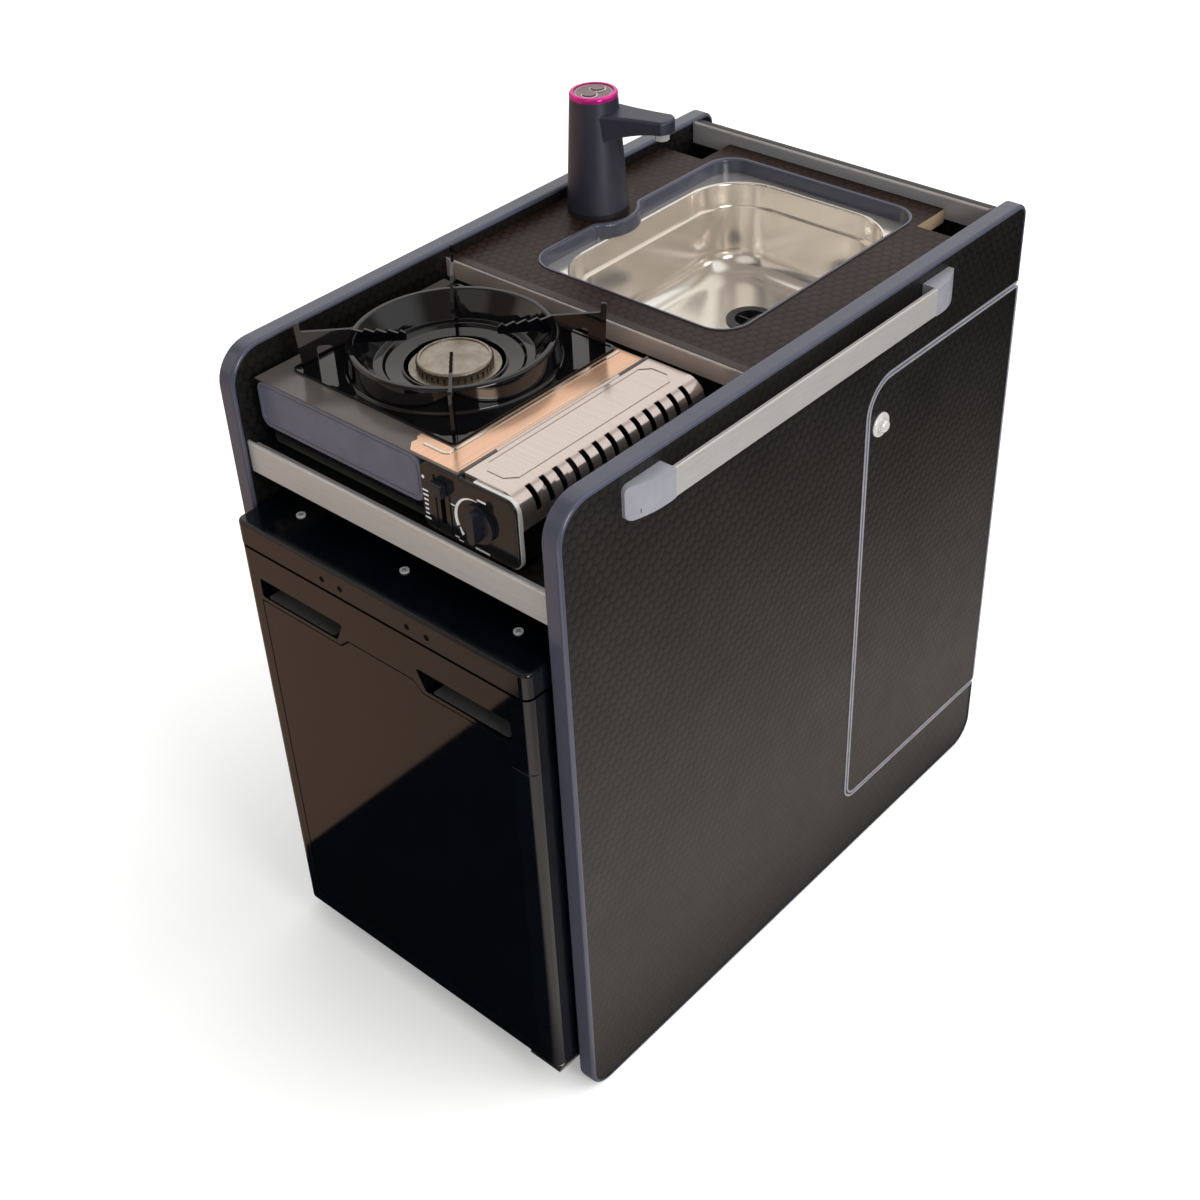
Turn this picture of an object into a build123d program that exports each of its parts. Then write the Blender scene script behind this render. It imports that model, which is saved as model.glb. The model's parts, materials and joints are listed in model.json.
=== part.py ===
from build123d import *
from math import cos, radians, sin, sqrt, tan
import os

# Campervan kitchen pod, in millimetres: +X right, -Y front, +Z up.
# The origin is the middle of the cabinet's footprint, on the floor.

# Cabinet
cabinet_width = 422.0
cabinet_depth = 700.0
cabinet_height = 713.0
side_board = 18.0
inner_board = 12.0
floor_board = 15.0
worktop_board = 15.0
board_fit = 0.3
batten = 15.0
panel_front_top_r = 38.0
panel_rear_top_r = 15.0
panel_front_bottom_r = 25.0
panel_rear_bottom_r = 32.0

# Edge trim with a rounded crown and a tongue in a groove
trim_width = 20.0
trim_crown = 4.0
trim_round = 3.5
tongue = 2.0
tongue_depth = 8.0
groove_clearance = 0.1

# Places of the boards inside the cabinet
worktop_drop = 15.0
worktop_front = 276.0
stove_bay_height = 86.0
floor_set_back = 30.0
back_set_in = 22.0
divider_gap = 6.0
divider_under_sink = 18.0

# Aluminium rails
rail_face = 3.0
rail_leg = 9.0
rail_leg_sheet = 1.5
front_rail_set_back = 7.0
front_rail_height = 33.0
front_rail_rise = 9.0
worktop_rail_drop = 3.0
worktop_rail_rise = 3.0
rear_rail_height = 26.0
notch_margin = 2.7
notch_depth = 50.0

# Pull handle on the right panel
handle_from_front = 77.0
handle_from_rear = 138.0
handle_cap_length = 49.0
handle_cap_height = 34.0
handle_cap_end = 3.5
handle_cap_r = 6.0
handle_stand_off = 17.0
handle_bar_height = 29.0
handle_bar_sheet = 5.0
handle_bar_round = 1.5
handle_bar_groove = 1.0
handle_drop = 15.0

# Cupboard door in the right panel
door_behind_divider = 13.0
door_bottom = 88.5
door_drop = 92.0
door_gap = 2.0
door_band = 2.5
band_lip = 0.5
door_top_r = 35.0
door_bottom_r = 15.0
door_rear_r = 5.0
pivot_inset = 10.0
pivot_r = 3.0
pivot_in_panel = 18.0
pivot_in_door = 14.0
pivot_collar_r = 5.0
running_clearance = 0.05
seat_clearance = 0.3

# Push lock
lock_from_edge = 21.0
lock_below_top = 50.0
rosette_r = 13.0
rosette_thickness = 2.2
lock_button_r = 7.0
lock_button_out = 8.0
lock_travel = 6.0
lock_barrel_wall = 2.0
lock_case_depth = 22.0
lock_case_front = 12.0
lock_case_rear = 15.0
lock_case_height = 30.0
lock_case_wall = 3.0
latch_width = 8.0
latch_height = 10.0
latch_length = 16.0
keeper_sheet = 2.0
keeper_reach = 7.0
keeper_height = 24.0

# Sink
sink_x = 1.0
sink_side_margin = 64.7
sink_front_margin = 42.0
sink_rear_margin = 22.0
cutout_r = 32.0
cutout_trim_lip = 1.0
cutout_trim_round = 3.0
bowl_inset = 12.5
bowl_r = 62.0
bowl_rim_r = 2.4
bowl_flange = 19.0
bowl_sheet = 1.2
bowl_depth = 95.0
bowl_shoulder_depth = 26.0
bowl_shoulder = 4.0
bowl_draft = 5.0
bowl_floor_r = 26.0
drain_behind_middle = 40.0
waste_flange_r = 26.0
waste_flange = 2.0
waste_r = 20.0
waste_bore_r = 17.0
waste_length = 32.0
waste_bars = 2.5
waste_spigot_r = 12.5
waste_spigot_bore_r = 10.5
waste_spigot_length = 60.0
waste_nut_r = 28.0
waste_nut_height = 12.0

# Tap
tap_from_side = 42.7
tap_before_middle = 25.0
tap_bump_r = 40.0
tap_bump_blend = 16.0
tap_base_r = 32.0
tap_base = 4.0
tap_stub_r = 15.0
tap_stub = 12.0
tap_tail_r = 10.0
tap_tail_length = 28.0
tap_nut_r = 14.5
tap_nut = 6.0
tap_spigot_r = 5.0
tap_spigot_length = 30.0
tap_body_height = 120.0
tap_top_r = 24.5
spout_angle = 14.0
spout_reach = 88.0
spout_root = 46.0
spout_tip = 27.0
spout_nose = 8.0
spout_round = 3.0
spout_top = 108.0
spout_depth_root = 36.0
spout_depth_tip = 13.0
nozzle_r = 7.5
nozzle_length = 9.0
nozzle_inset = 13.0
tap_ring = 5.0
tap_ring_lip = 4.0
tap_top_sink = 1.5
tap_button_r = 7.0
tap_button_gap = 0.3
tap_button_spread = 9.0
tap_button_depth = 3.0
tap_button_rise = 1.2

# Stove
stove_left_gap = 10.0
stove_right_gap = 44.0
stove_front_gap = 21.0
stove_rear_gap = 14.0
stove_foot = 8.0
stove_foot_r = 8.0
stove_foot_inset = 24.0
stove_height = 64.0
stove_sheet = 1.5
stove_case_r = 8.0
fascia = 4.0
fascia_height = 48.0
fascia_r = 11.0
control_width = 115.0
control_drop = 4.0
control_panel = 6.0
control_inset = 2.0
knob_from_right = 45.0
knob_above_case = 28.0
knob_r = 18.0
knob_skirt = 4.0
knob_grip = 8.0
knob_grip_width = 10.0
knob_draft = 4.0
knob_shaft_r = 3.0
lever_from_right = 89.0
lever_travel = 34.0
lever_below_top = 24.0
lever_width = 14.0
lever_height = 12.0
lever_out = 8.0
lever_stem = 5.0
lever_slot_clearance = 0.5
regulator_width = 36.0
regulator_height = 34.0
regulator_depth = 24.0
regulator_collar_r = 15.0
regulator_collar = 9.0
lid_width = 67.0
lid_sheet = 1.2
lid_round = 20.0
lid_skirt = 12.0
lid_knuckle_r = 2.0
lid_knuckle_sink = 0.5
lid_pin_r = 1.0
lid_knuckle_share = 40.0
lid_slots = 13
lid_slot_width = 6.0
lid_slot_pitch = 16.4
lid_slot_reach = 13.0
burner_from_front = 134.0
burner_cap_r = 36.0
burner_cap = 9.0
burner_cap_ring = 4.0
burner_cap_sink = 1.2
burner_rim_slots = 36
burner_slot_width = 2.0
burner_slot_depth = 3.0
burner_base_r = 43.0
burner_base = 3.0
burner_neck_r = 16.0
burner_tube_r = 7.0
burner_tube_height = 20.0
burner_rise = 4.5
top_plate_hole_gap = 7.0

# Pan support
pan_left_margin = 18.0
pan_right_margin = 35.0
pan_plate_r = 6.0
pan_sheet = 1.6
pan_bead = 2.5
pan_bead_height = 1.0
pan_rim_inset = 9.0
pan_rim_flat = 5.0
pan_rim_height = 25.5
pan_rim_r_top = 2.0
pan_wall_lean = 1.5
pan_cove_r = 4.0
pan_flare = 7.0
pan_bowl_slope = 21.0
pan_step = 8.0
pan_step_drop = 3.0
pan_hole_gap = 12.0
pan_bowl_drop = 4.5
pan_lip = 2.5
pan_lip_r = 1.2
arm_sheet = 3.0
arm_corner_inset = 10.5
arm_height = 39.0
arm_lean = 3.0
arm_prong_height = 9.0
arm_prong_width = 5.5
arm_leg = 15.0
arm_window_width = 15.0
arm_window_height = 24.5
arm_window_r = 4.0
arm_overhang = 7.0
arm_bar_fall = 5.0
arm_bar_depth = 10.0
arm_nose = 5.0
arm_nose_drop = 3.5
arm_round = 2.0
arm_teeth = 4
arm_tooth_depth = 2.5

# Fridge
fridge_side_gap = 4.0
fridge_proud = 26.0
fridge_depth = 441.0
fridge_bottom = 40.0
fridge_air_gap = 47.0
fridge_top_height = 26.0
fridge_top_r = 9.0
fridge_top_edge_r = 3.0
fridge_wall = 30.0
liner = 2.0
shelf_rib = 6.0
fridge_shelf = 6.0
compressor_bay_depth = 100.0
compressor_bay_height = 150.0
compressor_bay_side = 38.0
compressor_r = 52.0
compressor_height = 110.0
compressor_plate = 3.0
compressor_x = 40.0
fridge_foot_r = 10.0
fridge_foot_inset = 30.0
fridge_door = 43.0
fridge_door_gap = 8.0
fridge_door_bottom = 45.0
fridge_door_top_gap = 3.0
fridge_door_r = 10.0
gloss_panel = 3.0
gloss_left = 20.0
gloss_right = 25.0
gloss_bottom = 15.0
gloss_gap = 0.5
gloss_r = 2.0
cap_height = 84.0
cap_mid_height = 47.0
cap_lobe_drop = 10.0
cap_lobe_slant = 11.0
door_seam = 0.8
pull_outer = 22.5
pull_inner = 44.0
pull_height = 22.0
pull_depth = 20.0
pull_lip = 4.0
pull_r = 3.0
gasket_width = 15.0
gasket_edge = 12.0
hinge_inset = 10.0
hinge_back = 12.0
hinge_pin_r = 4.0
hinge_pin_in_door = 18.0
hinge_pin_in_top = 10.0
hinge_plate = 3.0
hinge_plate_width = 30.0
hinge_plate_rear = 14.0
hinge_collar_r = 7.0
screw_head_r = 4.5
screw_head = 1.6
screw_row = 16.0
screw_side = 47.0

# Places worked out from the sizes above
front_y = -cabinet_depth / 2
rear_y = cabinet_depth / 2
panel_mid = cabinet_width / 2 - trim_width / 2
panel_in = panel_mid - side_board / 2
panel_out = panel_mid + side_board / 2
inner_x = panel_in - board_fit
clear_x = panel_mid - trim_width / 2 - board_fit
groove = tongue + 2 * groove_clearance
worktop_top = cabinet_height - worktop_drop
worktop_under = worktop_top - worktop_board
worktop_y = front_y + worktop_front
riser_y = worktop_y + rail_face
shelf_top = worktop_top - stove_bay_height
shelf_under = shelf_top - inner_board
shelf_y = front_y + front_rail_set_back + rail_face
back_rear = rear_y - back_set_in
back_front = back_rear - inner_board
back_top = cabinet_height - trim_crown - board_fit
rear_rail_y = back_front - rail_face
fridge_front = front_y - fridge_proud
shell_rear = fridge_front + fridge_depth
divider_y = shell_rear + divider_gap
divider_top = worktop_under - bowl_depth - divider_under_sink
door_y = divider_y + door_behind_divider
door_top = cabinet_height - door_drop
opening_y = door_y - door_gap - door_band
opening_bottom = door_bottom - door_gap - door_band
opening_top = door_top + door_gap + door_band
pivot_y = rear_y - pivot_inset
lock_y = door_y + lock_from_edge
lock_height = door_top - lock_below_top
cutout_width = 2 * (inner_x - sink_side_margin)
cutout_length = rear_rail_y - riser_y - sink_front_margin - sink_rear_margin
sink_y = riser_y + sink_front_margin + cutout_length / 2
bowl_width = cutout_width - 2 * bowl_inset
bowl_length = cutout_length - 2 * bowl_inset
notch_width = sink_side_margin - tongue_depth - notch_margin
tap_x = tap_from_side - inner_x
tap_y = sink_y - tap_before_middle


def block(low, high, mode=Mode.ADD):
    """Rectangular block between two corners."""
    middle = [(a + b) / 2 for a, b in zip(low, high)]
    with Locations(tuple(middle)):
        Box(*[b - a for a, b in zip(low, high)], mode=mode)


def rod(foot, direction, radius, length, mode=Mode.ADD):
    """Round bar from its foot along a direction."""
    with Locations(Plane(origin=foot, z_dir=direction)):
        Cylinder(radius, length, align=(Align.CENTER, Align.CENTER, Align.MIN), mode=mode)


def level(z):
    return Plane.XY.offset(z)


def from_side(x):
    """Upright plane seen from the right: sketch in Y and Z, extrude towards +X."""
    return Plane.YZ.offset(x)


def from_front(y):
    """Upright plane seen from the front: sketch in X and Z, extrude towards -Y."""
    return Plane.XZ.offset(-y)


# Side panels
def panel_outline(inset, mode=Mode.ADD):
    """Side panel outline in Y and Z, inset from the outside of its trim."""
    front, rear = front_y + inset, rear_y - inset
    low, high = inset, cabinet_height - inset
    corners = (panel_front_bottom_r, panel_rear_bottom_r, panel_rear_top_r, panel_front_top_r)
    with BuildLine() as outline:
        FilletPolyline(
            (front, low), (rear, low), (rear, high), (front, high),
            radius=[r - inset for r in corners], close=True,
        )
    make_face(outline.edges(), mode=mode)


def opening_outline(inset, mode=Mode.ADD):
    """Cupboard opening in Y and Z, open past the panel's rear edge."""
    past_rear = rear_y + side_board
    low, high = opening_bottom + inset, opening_top - inset
    lining = door_gap + door_band - inset
    with BuildLine() as outline:
        FilletPolyline(
            (past_rear, low), (opening_y + inset, low), (opening_y + inset, high), (past_rear, high),
            radius=[door_bottom_r + lining, door_top_r + lining],
        )
        Line((past_rear, high), (past_rear, low))
    make_face(outline.edges(), mode=mode)


def trim_ring(x):
    """Closed trim round a side panel: rounded crown outside, tongue towards the board."""
    with BuildSketch(from_side(x - trim_width / 2)) as crown_face:
        panel_outline(0)
        panel_outline(trim_crown, Mode.SUBTRACT)
    ring = extrude(crown_face.sketch, amount=trim_width)
    ends = ring.faces().filter_by(Axis.X).sort_by(Axis.X)
    fillet(ends[0].outer_wire().edges() + ends[-1].outer_wire().edges(), trim_round)
    with BuildSketch(from_side(x - tongue / 2)) as tongue_face:
        panel_outline(trim_crown)
        panel_outline(trim_crown + tongue_depth, Mode.SUBTRACT)
    extrude(tongue_face.sketch, amount=tongue)


def panel_groove(x):
    """Groove for the trim's tongue in the edge of a side panel."""
    with BuildSketch(from_side(x - groove / 2)) as groove_face:
        panel_outline(0)
        panel_outline(trim_crown + tongue_depth + groove_clearance, Mode.SUBTRACT)
    extrude(groove_face.sketch, amount=groove, mode=Mode.SUBTRACT)


with BuildPart() as left_side_panel:
    with BuildSketch(from_side(-panel_out)):
        panel_outline(trim_crown)
    extrude(amount=side_board)
    panel_groove(-panel_mid)

with BuildPart() as left_panel_trim:
    trim_ring(-panel_mid)

# The tongue and its groove stop short of the door's pivots
tongue_stop = pivot_in_panel + tongue_depth
tongue_front = rear_y - trim_crown - tongue_depth - groove_clearance

with BuildPart() as right_side_panel:
    with BuildSketch(from_side(panel_in)):
        panel_outline(trim_crown)
        opening_outline(0, Mode.SUBTRACT)
    extrude(amount=side_board)
    panel_groove(panel_mid)
    for low in (opening_bottom - tongue_stop, opening_top):
        block(
            (panel_in, tongue_front - groove_clearance, low),
            (panel_out, rear_y - trim_crown, low + tongue_stop),
        )
    for foot, way in ((opening_bottom, -1), (opening_top, 1)):
        rod(
            (panel_mid, pivot_y, foot), (0, 0, way),
            pivot_r + running_clearance, pivot_in_panel, Mode.SUBTRACT,
        )

with BuildPart() as right_panel_trim:
    trim_ring(panel_mid)
    block(
        (panel_in - trim_width, rear_y - trim_crown, opening_bottom),
        (panel_out + trim_width, rear_y + trim_crown, opening_top),
        Mode.SUBTRACT,
    )
    block(
        (panel_in - trim_width, tongue_front - groove_clearance, opening_bottom - tongue_stop),
        (panel_out + trim_width, rear_y - trim_crown, opening_top + tongue_stop),
        Mode.SUBTRACT,
    )

with BuildPart() as door_opening_band:
    with BuildSketch(from_side(panel_in)):
        opening_outline(0)
        opening_outline(door_band, Mode.SUBTRACT)
    extrude(amount=side_board + band_lip)
    block(
        (panel_in - trim_width, rear_y - trim_crown, 0),
        (panel_out + trim_width, rear_y + cabinet_depth, cabinet_height),
        Mode.SUBTRACT,
    )
    rod(
        (panel_mid, pivot_y, opening_bottom - door_band), (0, 0, 1),
        pivot_r + running_clearance, opening_top - opening_bottom + 2 * door_band, Mode.SUBTRACT,
    )

with BuildPart() as door_pivot_pins:
    for band_face, way in ((opening_bottom + door_band, 1), (opening_top - door_band, -1)):
        foot = band_face - way * (door_band + pivot_in_panel)
        length = pivot_in_panel + door_band + door_gap + pivot_in_door
        rod((panel_mid, pivot_y, foot), (0, 0, way), pivot_r, length)
        rod((panel_mid, pivot_y, band_face), (0, 0, way), pivot_collar_r, door_gap - seat_clearance)

# Inner boards
with BuildPart() as floor_panel:
    block((-clear_x, front_y + floor_set_back, 0), (clear_x, back_rear, floor_board))

with BuildPart() as back_panel:
    block((-inner_x, back_front, floor_board), (inner_x, back_rear, back_top))

with BuildPart() as divider_panel:
    block((-inner_x, divider_y, floor_board), (inner_x, divider_y + inner_board, divider_top))

with BuildPart() as stove_shelf:
    block((-inner_x, shelf_y, shelf_under), (inner_x, riser_y + inner_board, shelf_top))

with BuildPart() as stove_bay_riser:
    block((-inner_x, riser_y, shelf_top), (inner_x, riser_y + inner_board, worktop_under - rail_leg_sheet))

with BuildPart() as support_battens:
    for side in (-1, 1):
        outer = side * panel_in
        inner = side * (panel_in - batten)
        x_low, x_high = min(outer, inner), max(outer, inner)
        block(
            (x_low, riser_y + inner_board, worktop_under - batten),
            (x_high, rear_rail_y - notch_depth, worktop_under),
        )
        block((x_low, shelf_y + rail_leg, shelf_under - batten), (x_high, riser_y, shelf_under))
        block((x_low, front_y + floor_set_back, floor_board), (x_high, divider_y, floor_board + batten))


# Worktop with the sink cut-out, which bulges round the tap
def cutout_face(plane, inset):
    """Sink cut-out, inset from the worktop's cut edge."""
    with BuildSketch(plane) as face:
        with Locations((sink_x, sink_y)):
            RectangleRounded(cutout_width - 2 * inset, cutout_length - 2 * inset, cutout_r - inset)
        with Locations((tap_x, tap_y)):
            Circle(tap_bump_r + inset, mode=Mode.SUBTRACT)
        bump_ends = face.vertices().sort_by_distance((tap_x, tap_y, 0))[:2]
        fillet(bump_ends, tap_bump_blend - inset)
    return face.sketch


tongue_z = worktop_under + (worktop_board - tongue) / 2
cutout_edge = cutout_face(level(worktop_under), 0)
cutout_groove = cutout_face(level(tongue_z - groove_clearance), -tongue_depth - groove_clearance)
cutout_tongue = cutout_face(level(tongue_z), -tongue_depth)
cutout_clear = cutout_face(level(worktop_under), trim_crown)

with BuildPart() as worktop:
    block((-inner_x, riser_y, worktop_under), (inner_x, rear_rail_y, worktop_top))
    extrude(cutout_edge, amount=worktop_board, mode=Mode.SUBTRACT)
    extrude(cutout_groove, amount=groove, mode=Mode.SUBTRACT)
    for side in (-1, 1):
        with Locations((side * inner_x, rear_rail_y, worktop_under + worktop_board / 2)):
            Box(2 * notch_width, 2 * notch_depth, 2 * worktop_board, mode=Mode.SUBTRACT)
    rod((tap_x, tap_y, worktop_under), (0, 0, 1), tap_tail_r + seat_clearance, worktop_board, Mode.SUBTRACT)

with BuildPart() as sink_cutout_trim:
    extrude(cutout_edge, amount=worktop_board + cutout_trim_lip)
    extrude(cutout_tongue, amount=tongue)
    extrude(cutout_clear, amount=worktop_board + cutout_trim_lip, mode=Mode.SUBTRACT)
    top_face = sink_cutout_trim.faces().filter_by(Axis.Z).sort_by(Axis.Z)[-1]
    fillet(top_face.inner_wires()[0].edges(), cutout_trim_round)


# Aluminium rails
def rail(face_y, low, high, half):
    """Flat rail with a rounded top edge, from one side panel to the other."""
    with BuildSketch(from_side(-half)) as section:
        with Locations((face_y + rail_face / 2, (low + high - rail_face / 2) / 2)):
            Rectangle(rail_face, high - low - rail_face / 2)
        with Locations((face_y + rail_face / 2, high - rail_face / 2)):
            Circle(rail_face / 2)
    extrude(section.sketch, amount=2 * half)


def rail_grip(face_y, board_low, board_high):
    """Two legs behind a rail that grip the edge of a board."""
    leg_y = face_y + rail_face
    for leg_low in (board_low - rail_leg_sheet, board_high):
        block((-inner_x, leg_y, leg_low), (inner_x, leg_y + rail_leg, leg_low + rail_leg_sheet))


with BuildPart() as front_rail:
    front_rail_top = shelf_top + front_rail_rise
    rail(front_y + front_rail_set_back, front_rail_top - front_rail_height, front_rail_top, inner_x)
    rail_grip(front_y + front_rail_set_back, shelf_under, shelf_top)

with BuildPart() as worktop_edge_rail:
    rail(worktop_y, worktop_under - worktop_rail_drop, worktop_top + worktop_rail_rise, inner_x)
    rail_grip(worktop_y, worktop_under, worktop_top)

with BuildPart() as rear_rail:
    rail(rear_rail_y, cabinet_height - rear_rail_height, cabinet_height, clear_x)

# Pull handle
handle_y = front_y + handle_from_front
handle_rear_y = rear_y - handle_from_rear
handle_top = cabinet_height - handle_drop
bar_y = handle_y + handle_cap_length
bar_rear_y = handle_rear_y - handle_cap_length
bar_out = panel_out + handle_stand_off

with BuildPart() as handle_bar:
    with BuildSketch(from_front(bar_rear_y)):
        with Locations((bar_out - handle_bar_sheet / 2, handle_top - handle_bar_height / 2)):
            RectangleRounded(handle_bar_sheet, handle_bar_height, handle_bar_round)
        for groove_z in (handle_top, handle_top - handle_bar_height):
            with Locations((bar_out - handle_bar_sheet / 2, groove_z)):
                Rectangle(handle_bar_groove, 2 * handle_bar_groove, mode=Mode.SUBTRACT)
    extrude(amount=bar_rear_y - bar_y)

with BuildPart() as handle_end_caps:
    for end_y, bar_end, way in ((handle_y, bar_y, 1), (handle_rear_y, bar_rear_y, -1)):
        with BuildSketch(level(handle_top - handle_cap_height)):
            with BuildLine():
                thin = (panel_out + handle_cap_end, end_y)
                full = (bar_out, bar_end)
                Line((panel_out, end_y), thin)
                TangentArc(full, thin, tangent=(0, -way))
                Polyline(full, (panel_out, bar_end), (panel_out, end_y))
            make_face()
        extrude(amount=handle_cap_height)
    with BuildSketch(from_side(panel_out)):
        for end_y, bar_end in ((handle_y, bar_y), (handle_rear_y, bar_rear_y)):
            with BuildLine():
                FilletPolyline(
                    (bar_end, handle_top), (end_y, handle_top), (end_y, handle_top - handle_cap_height),
                    (bar_end, handle_top - handle_bar_height),
                    radius=[0, handle_cap_r, handle_cap_r, 0], close=True,
                )
            make_face()
    extrude(amount=handle_stand_off, mode=Mode.INTERSECT)


# Cupboard door
def door_outline(inset, mode=Mode.ADD):
    """Door outline in Y and Z, inset from the outside of its edge band."""
    front, rear = door_y + inset, rear_y - inset
    low, high = door_bottom + inset, door_top - inset
    corners = (door_bottom_r, door_rear_r, door_rear_r, door_top_r)
    with BuildLine() as outline:
        FilletPolyline(
            (front, low), (rear, low), (rear, high), (front, high),
            radius=[r - inset for r in corners], close=True,
        )
    make_face(outline.edges(), mode=mode)


def door_pivot_holes():
    depth = pivot_in_door + seat_clearance
    for edge, way in ((door_bottom, 1), (door_top, -1)):
        rod((panel_mid, pivot_y, edge), (0, 0, way), pivot_r + running_clearance, depth, Mode.SUBTRACT)


lock_barrel_r = lock_button_r + running_clearance + lock_barrel_wall

with BuildPart() as cupboard_door:
    with BuildSketch(from_side(panel_in)):
        door_outline(door_band)
        with Locations((lock_y, lock_height)):
            Circle(lock_barrel_r + running_clearance, mode=Mode.SUBTRACT)
    extrude(amount=side_board)
    door_pivot_holes()

with BuildPart() as cupboard_door_band:
    with BuildSketch(from_side(panel_in)):
        door_outline(0)
        door_outline(door_band, Mode.SUBTRACT)
    extrude(amount=side_board + band_lip)
    door_pivot_holes()

# Push lock: the button drives the latch behind the keeper
case_y = lock_y - lock_case_front
latch_x = panel_in - lock_case_depth / 2
latch_end = case_y - seat_clearance

with BuildPart() as lock_rosette:
    with BuildSketch(from_side(panel_out)):
        with Locations((lock_y, lock_height)):
            Circle(rosette_r)
            Circle(lock_button_r + seat_clearance, mode=Mode.SUBTRACT)
    extrude(amount=rosette_thickness)
    outer_rim = lock_rosette.faces().sort_by(Axis.X)[-1].outer_wire().edges()
    fillet(outer_rim, rosette_thickness - seat_clearance)

with BuildPart() as lock_case:
    block(
        (panel_in - lock_case_depth, case_y, lock_height - lock_case_height / 2),
        (panel_in, lock_y + lock_case_rear, lock_height + lock_case_height / 2),
    )
    rod((panel_in, lock_y, lock_height), (1, 0, 0), lock_barrel_r, side_board)
    rod(
        (latch_x - latch_width / 2 - lock_case_wall, lock_y, lock_height), (1, 0, 0),
        lock_button_r + running_clearance, lock_case_depth + side_board, Mode.SUBTRACT,
    )
    block(
        (
            latch_x - latch_width / 2 - running_clearance,
            case_y,
            lock_height - latch_height / 2 - running_clearance,
        ),
        (
            latch_x + latch_width / 2 + running_clearance,
            case_y + latch_length + seat_clearance,
            lock_height + latch_height / 2 + running_clearance,
        ),
        Mode.SUBTRACT,
    )

button_foot = panel_in + lock_travel
button_length = panel_out + lock_button_out - button_foot

with BuildPart() as lock_button:
    rod((button_foot, lock_y, lock_height), (1, 0, 0), lock_button_r, button_length)
    crown = lock_button.faces().sort_by(Axis.X)[-1].edges()
    fillet(crown, lock_button_out / 2)

with BuildPart() as lock_latch:
    block(
        (latch_x - latch_width / 2, latch_end, lock_height - latch_height / 2),
        (latch_x + latch_width / 2, latch_end + latch_length, lock_height + latch_height / 2),
    )
    nose = lock_latch.edges().filter_by(Axis.Z).group_by(Axis.Y)[0].sort_by(Axis.X)[0]
    chamfer(nose, latch_width / 2)

keeper_y = divider_y + inner_board
keeper_x = latch_x + latch_width / 2 + keeper_sheet

with BuildPart() as lock_keeper:
    keeper_low = divider_top - keeper_height
    block(
        (latch_x - latch_width, keeper_y, keeper_low),
        (keeper_x + keeper_sheet, keeper_y + keeper_sheet, lock_height + keeper_height / 2),
    )
    block(
        (keeper_x, keeper_y, lock_height - keeper_height / 2),
        (keeper_x + keeper_sheet, keeper_y + keeper_reach, lock_height + keeper_height / 2),
    )

# Sink
drain_y = sink_y + drain_behind_middle
bowl_top = worktop_under
bowl_floor = bowl_top - bowl_depth
bowl_lean = bowl_shoulder_depth * tan(radians(bowl_draft))


def bowl_form(grow):
    """Drawn bowl with a shoulder, grown outwards by its sheet."""
    with BuildPart() as form:
        with BuildSketch(level(bowl_top)):
            with Locations((sink_x, sink_y)):
                RectangleRounded(bowl_width + 2 * grow, bowl_length + 2 * grow, bowl_r + grow)
        extrude(amount=-bowl_shoulder_depth - grow, taper=bowl_draft)
        step = bowl_lean + bowl_shoulder - grow
        with BuildSketch(level(bowl_top - bowl_shoulder_depth)):
            with Locations((sink_x, sink_y)):
                RectangleRounded(bowl_width - 2 * step, bowl_length - 2 * step, bowl_r - step)
        extrude(amount=bowl_shoulder_depth - bowl_depth - grow, taper=bowl_draft)
        fillet(form.faces().sort_by(Axis.Z)[0].edges(), bowl_floor_r + grow)
    return form.part


bowl_outside = bowl_form(bowl_sheet)
bowl_inside = bowl_form(0)

with BuildPart() as sink_bowl:
    with BuildSketch(level(bowl_top - bowl_sheet)):
        with Locations((sink_x, sink_y)):
            flange_wide = bowl_width + 2 * bowl_flange
            flange_long = bowl_length + 2 * bowl_flange
            RectangleRounded(flange_wide, flange_long, cutout_r)
    extrude(amount=bowl_sheet)
    add(bowl_outside)
    add(bowl_inside, mode=Mode.SUBTRACT)
    fillet(sink_bowl.faces().sort_by(Axis.Z)[-1].inner_wires()[0].edges(), bowl_rim_r)
    rod((sink_x, drain_y, bowl_floor), (0, 0, -1), waste_r + seat_clearance, bowl_floor_r, Mode.SUBTRACT)

waste_foot = bowl_floor + waste_flange - waste_length

with BuildPart() as sink_waste:
    rod((sink_x, drain_y, bowl_floor), (0, 0, 1), waste_flange_r, waste_flange)
    rod((sink_x, drain_y, waste_foot), (0, 0, 1), waste_r, waste_length)
    rod((sink_x, drain_y, waste_foot + waste_flange), (0, 0, 1), waste_bore_r, waste_length, Mode.SUBTRACT)
    spigot_end = waste_foot - waste_spigot_length
    spigot = waste_spigot_length + waste_flange
    rod((sink_x, drain_y, spigot_end), (0, 0, 1), waste_spigot_r, spigot)
    rod((sink_x, drain_y, spigot_end), (0, 0, 1), waste_spigot_bore_r, spigot, Mode.SUBTRACT)
    for turn in (0, 90):
        with Locations(Location((sink_x, drain_y, bowl_floor - waste_bars / 2), (0, 0, turn))):
            Box(2 * waste_bore_r + waste_bars, waste_bars, waste_bars)

with BuildPart() as waste_nut:
    with BuildSketch(level(bowl_floor - bowl_sheet - waste_nut_height)):
        with Locations((sink_x, drain_y)):
            RegularPolygon(waste_nut_r, 8)
            Circle(waste_r + running_clearance, mode=Mode.SUBTRACT)
    extrude(amount=waste_nut_height)

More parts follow.
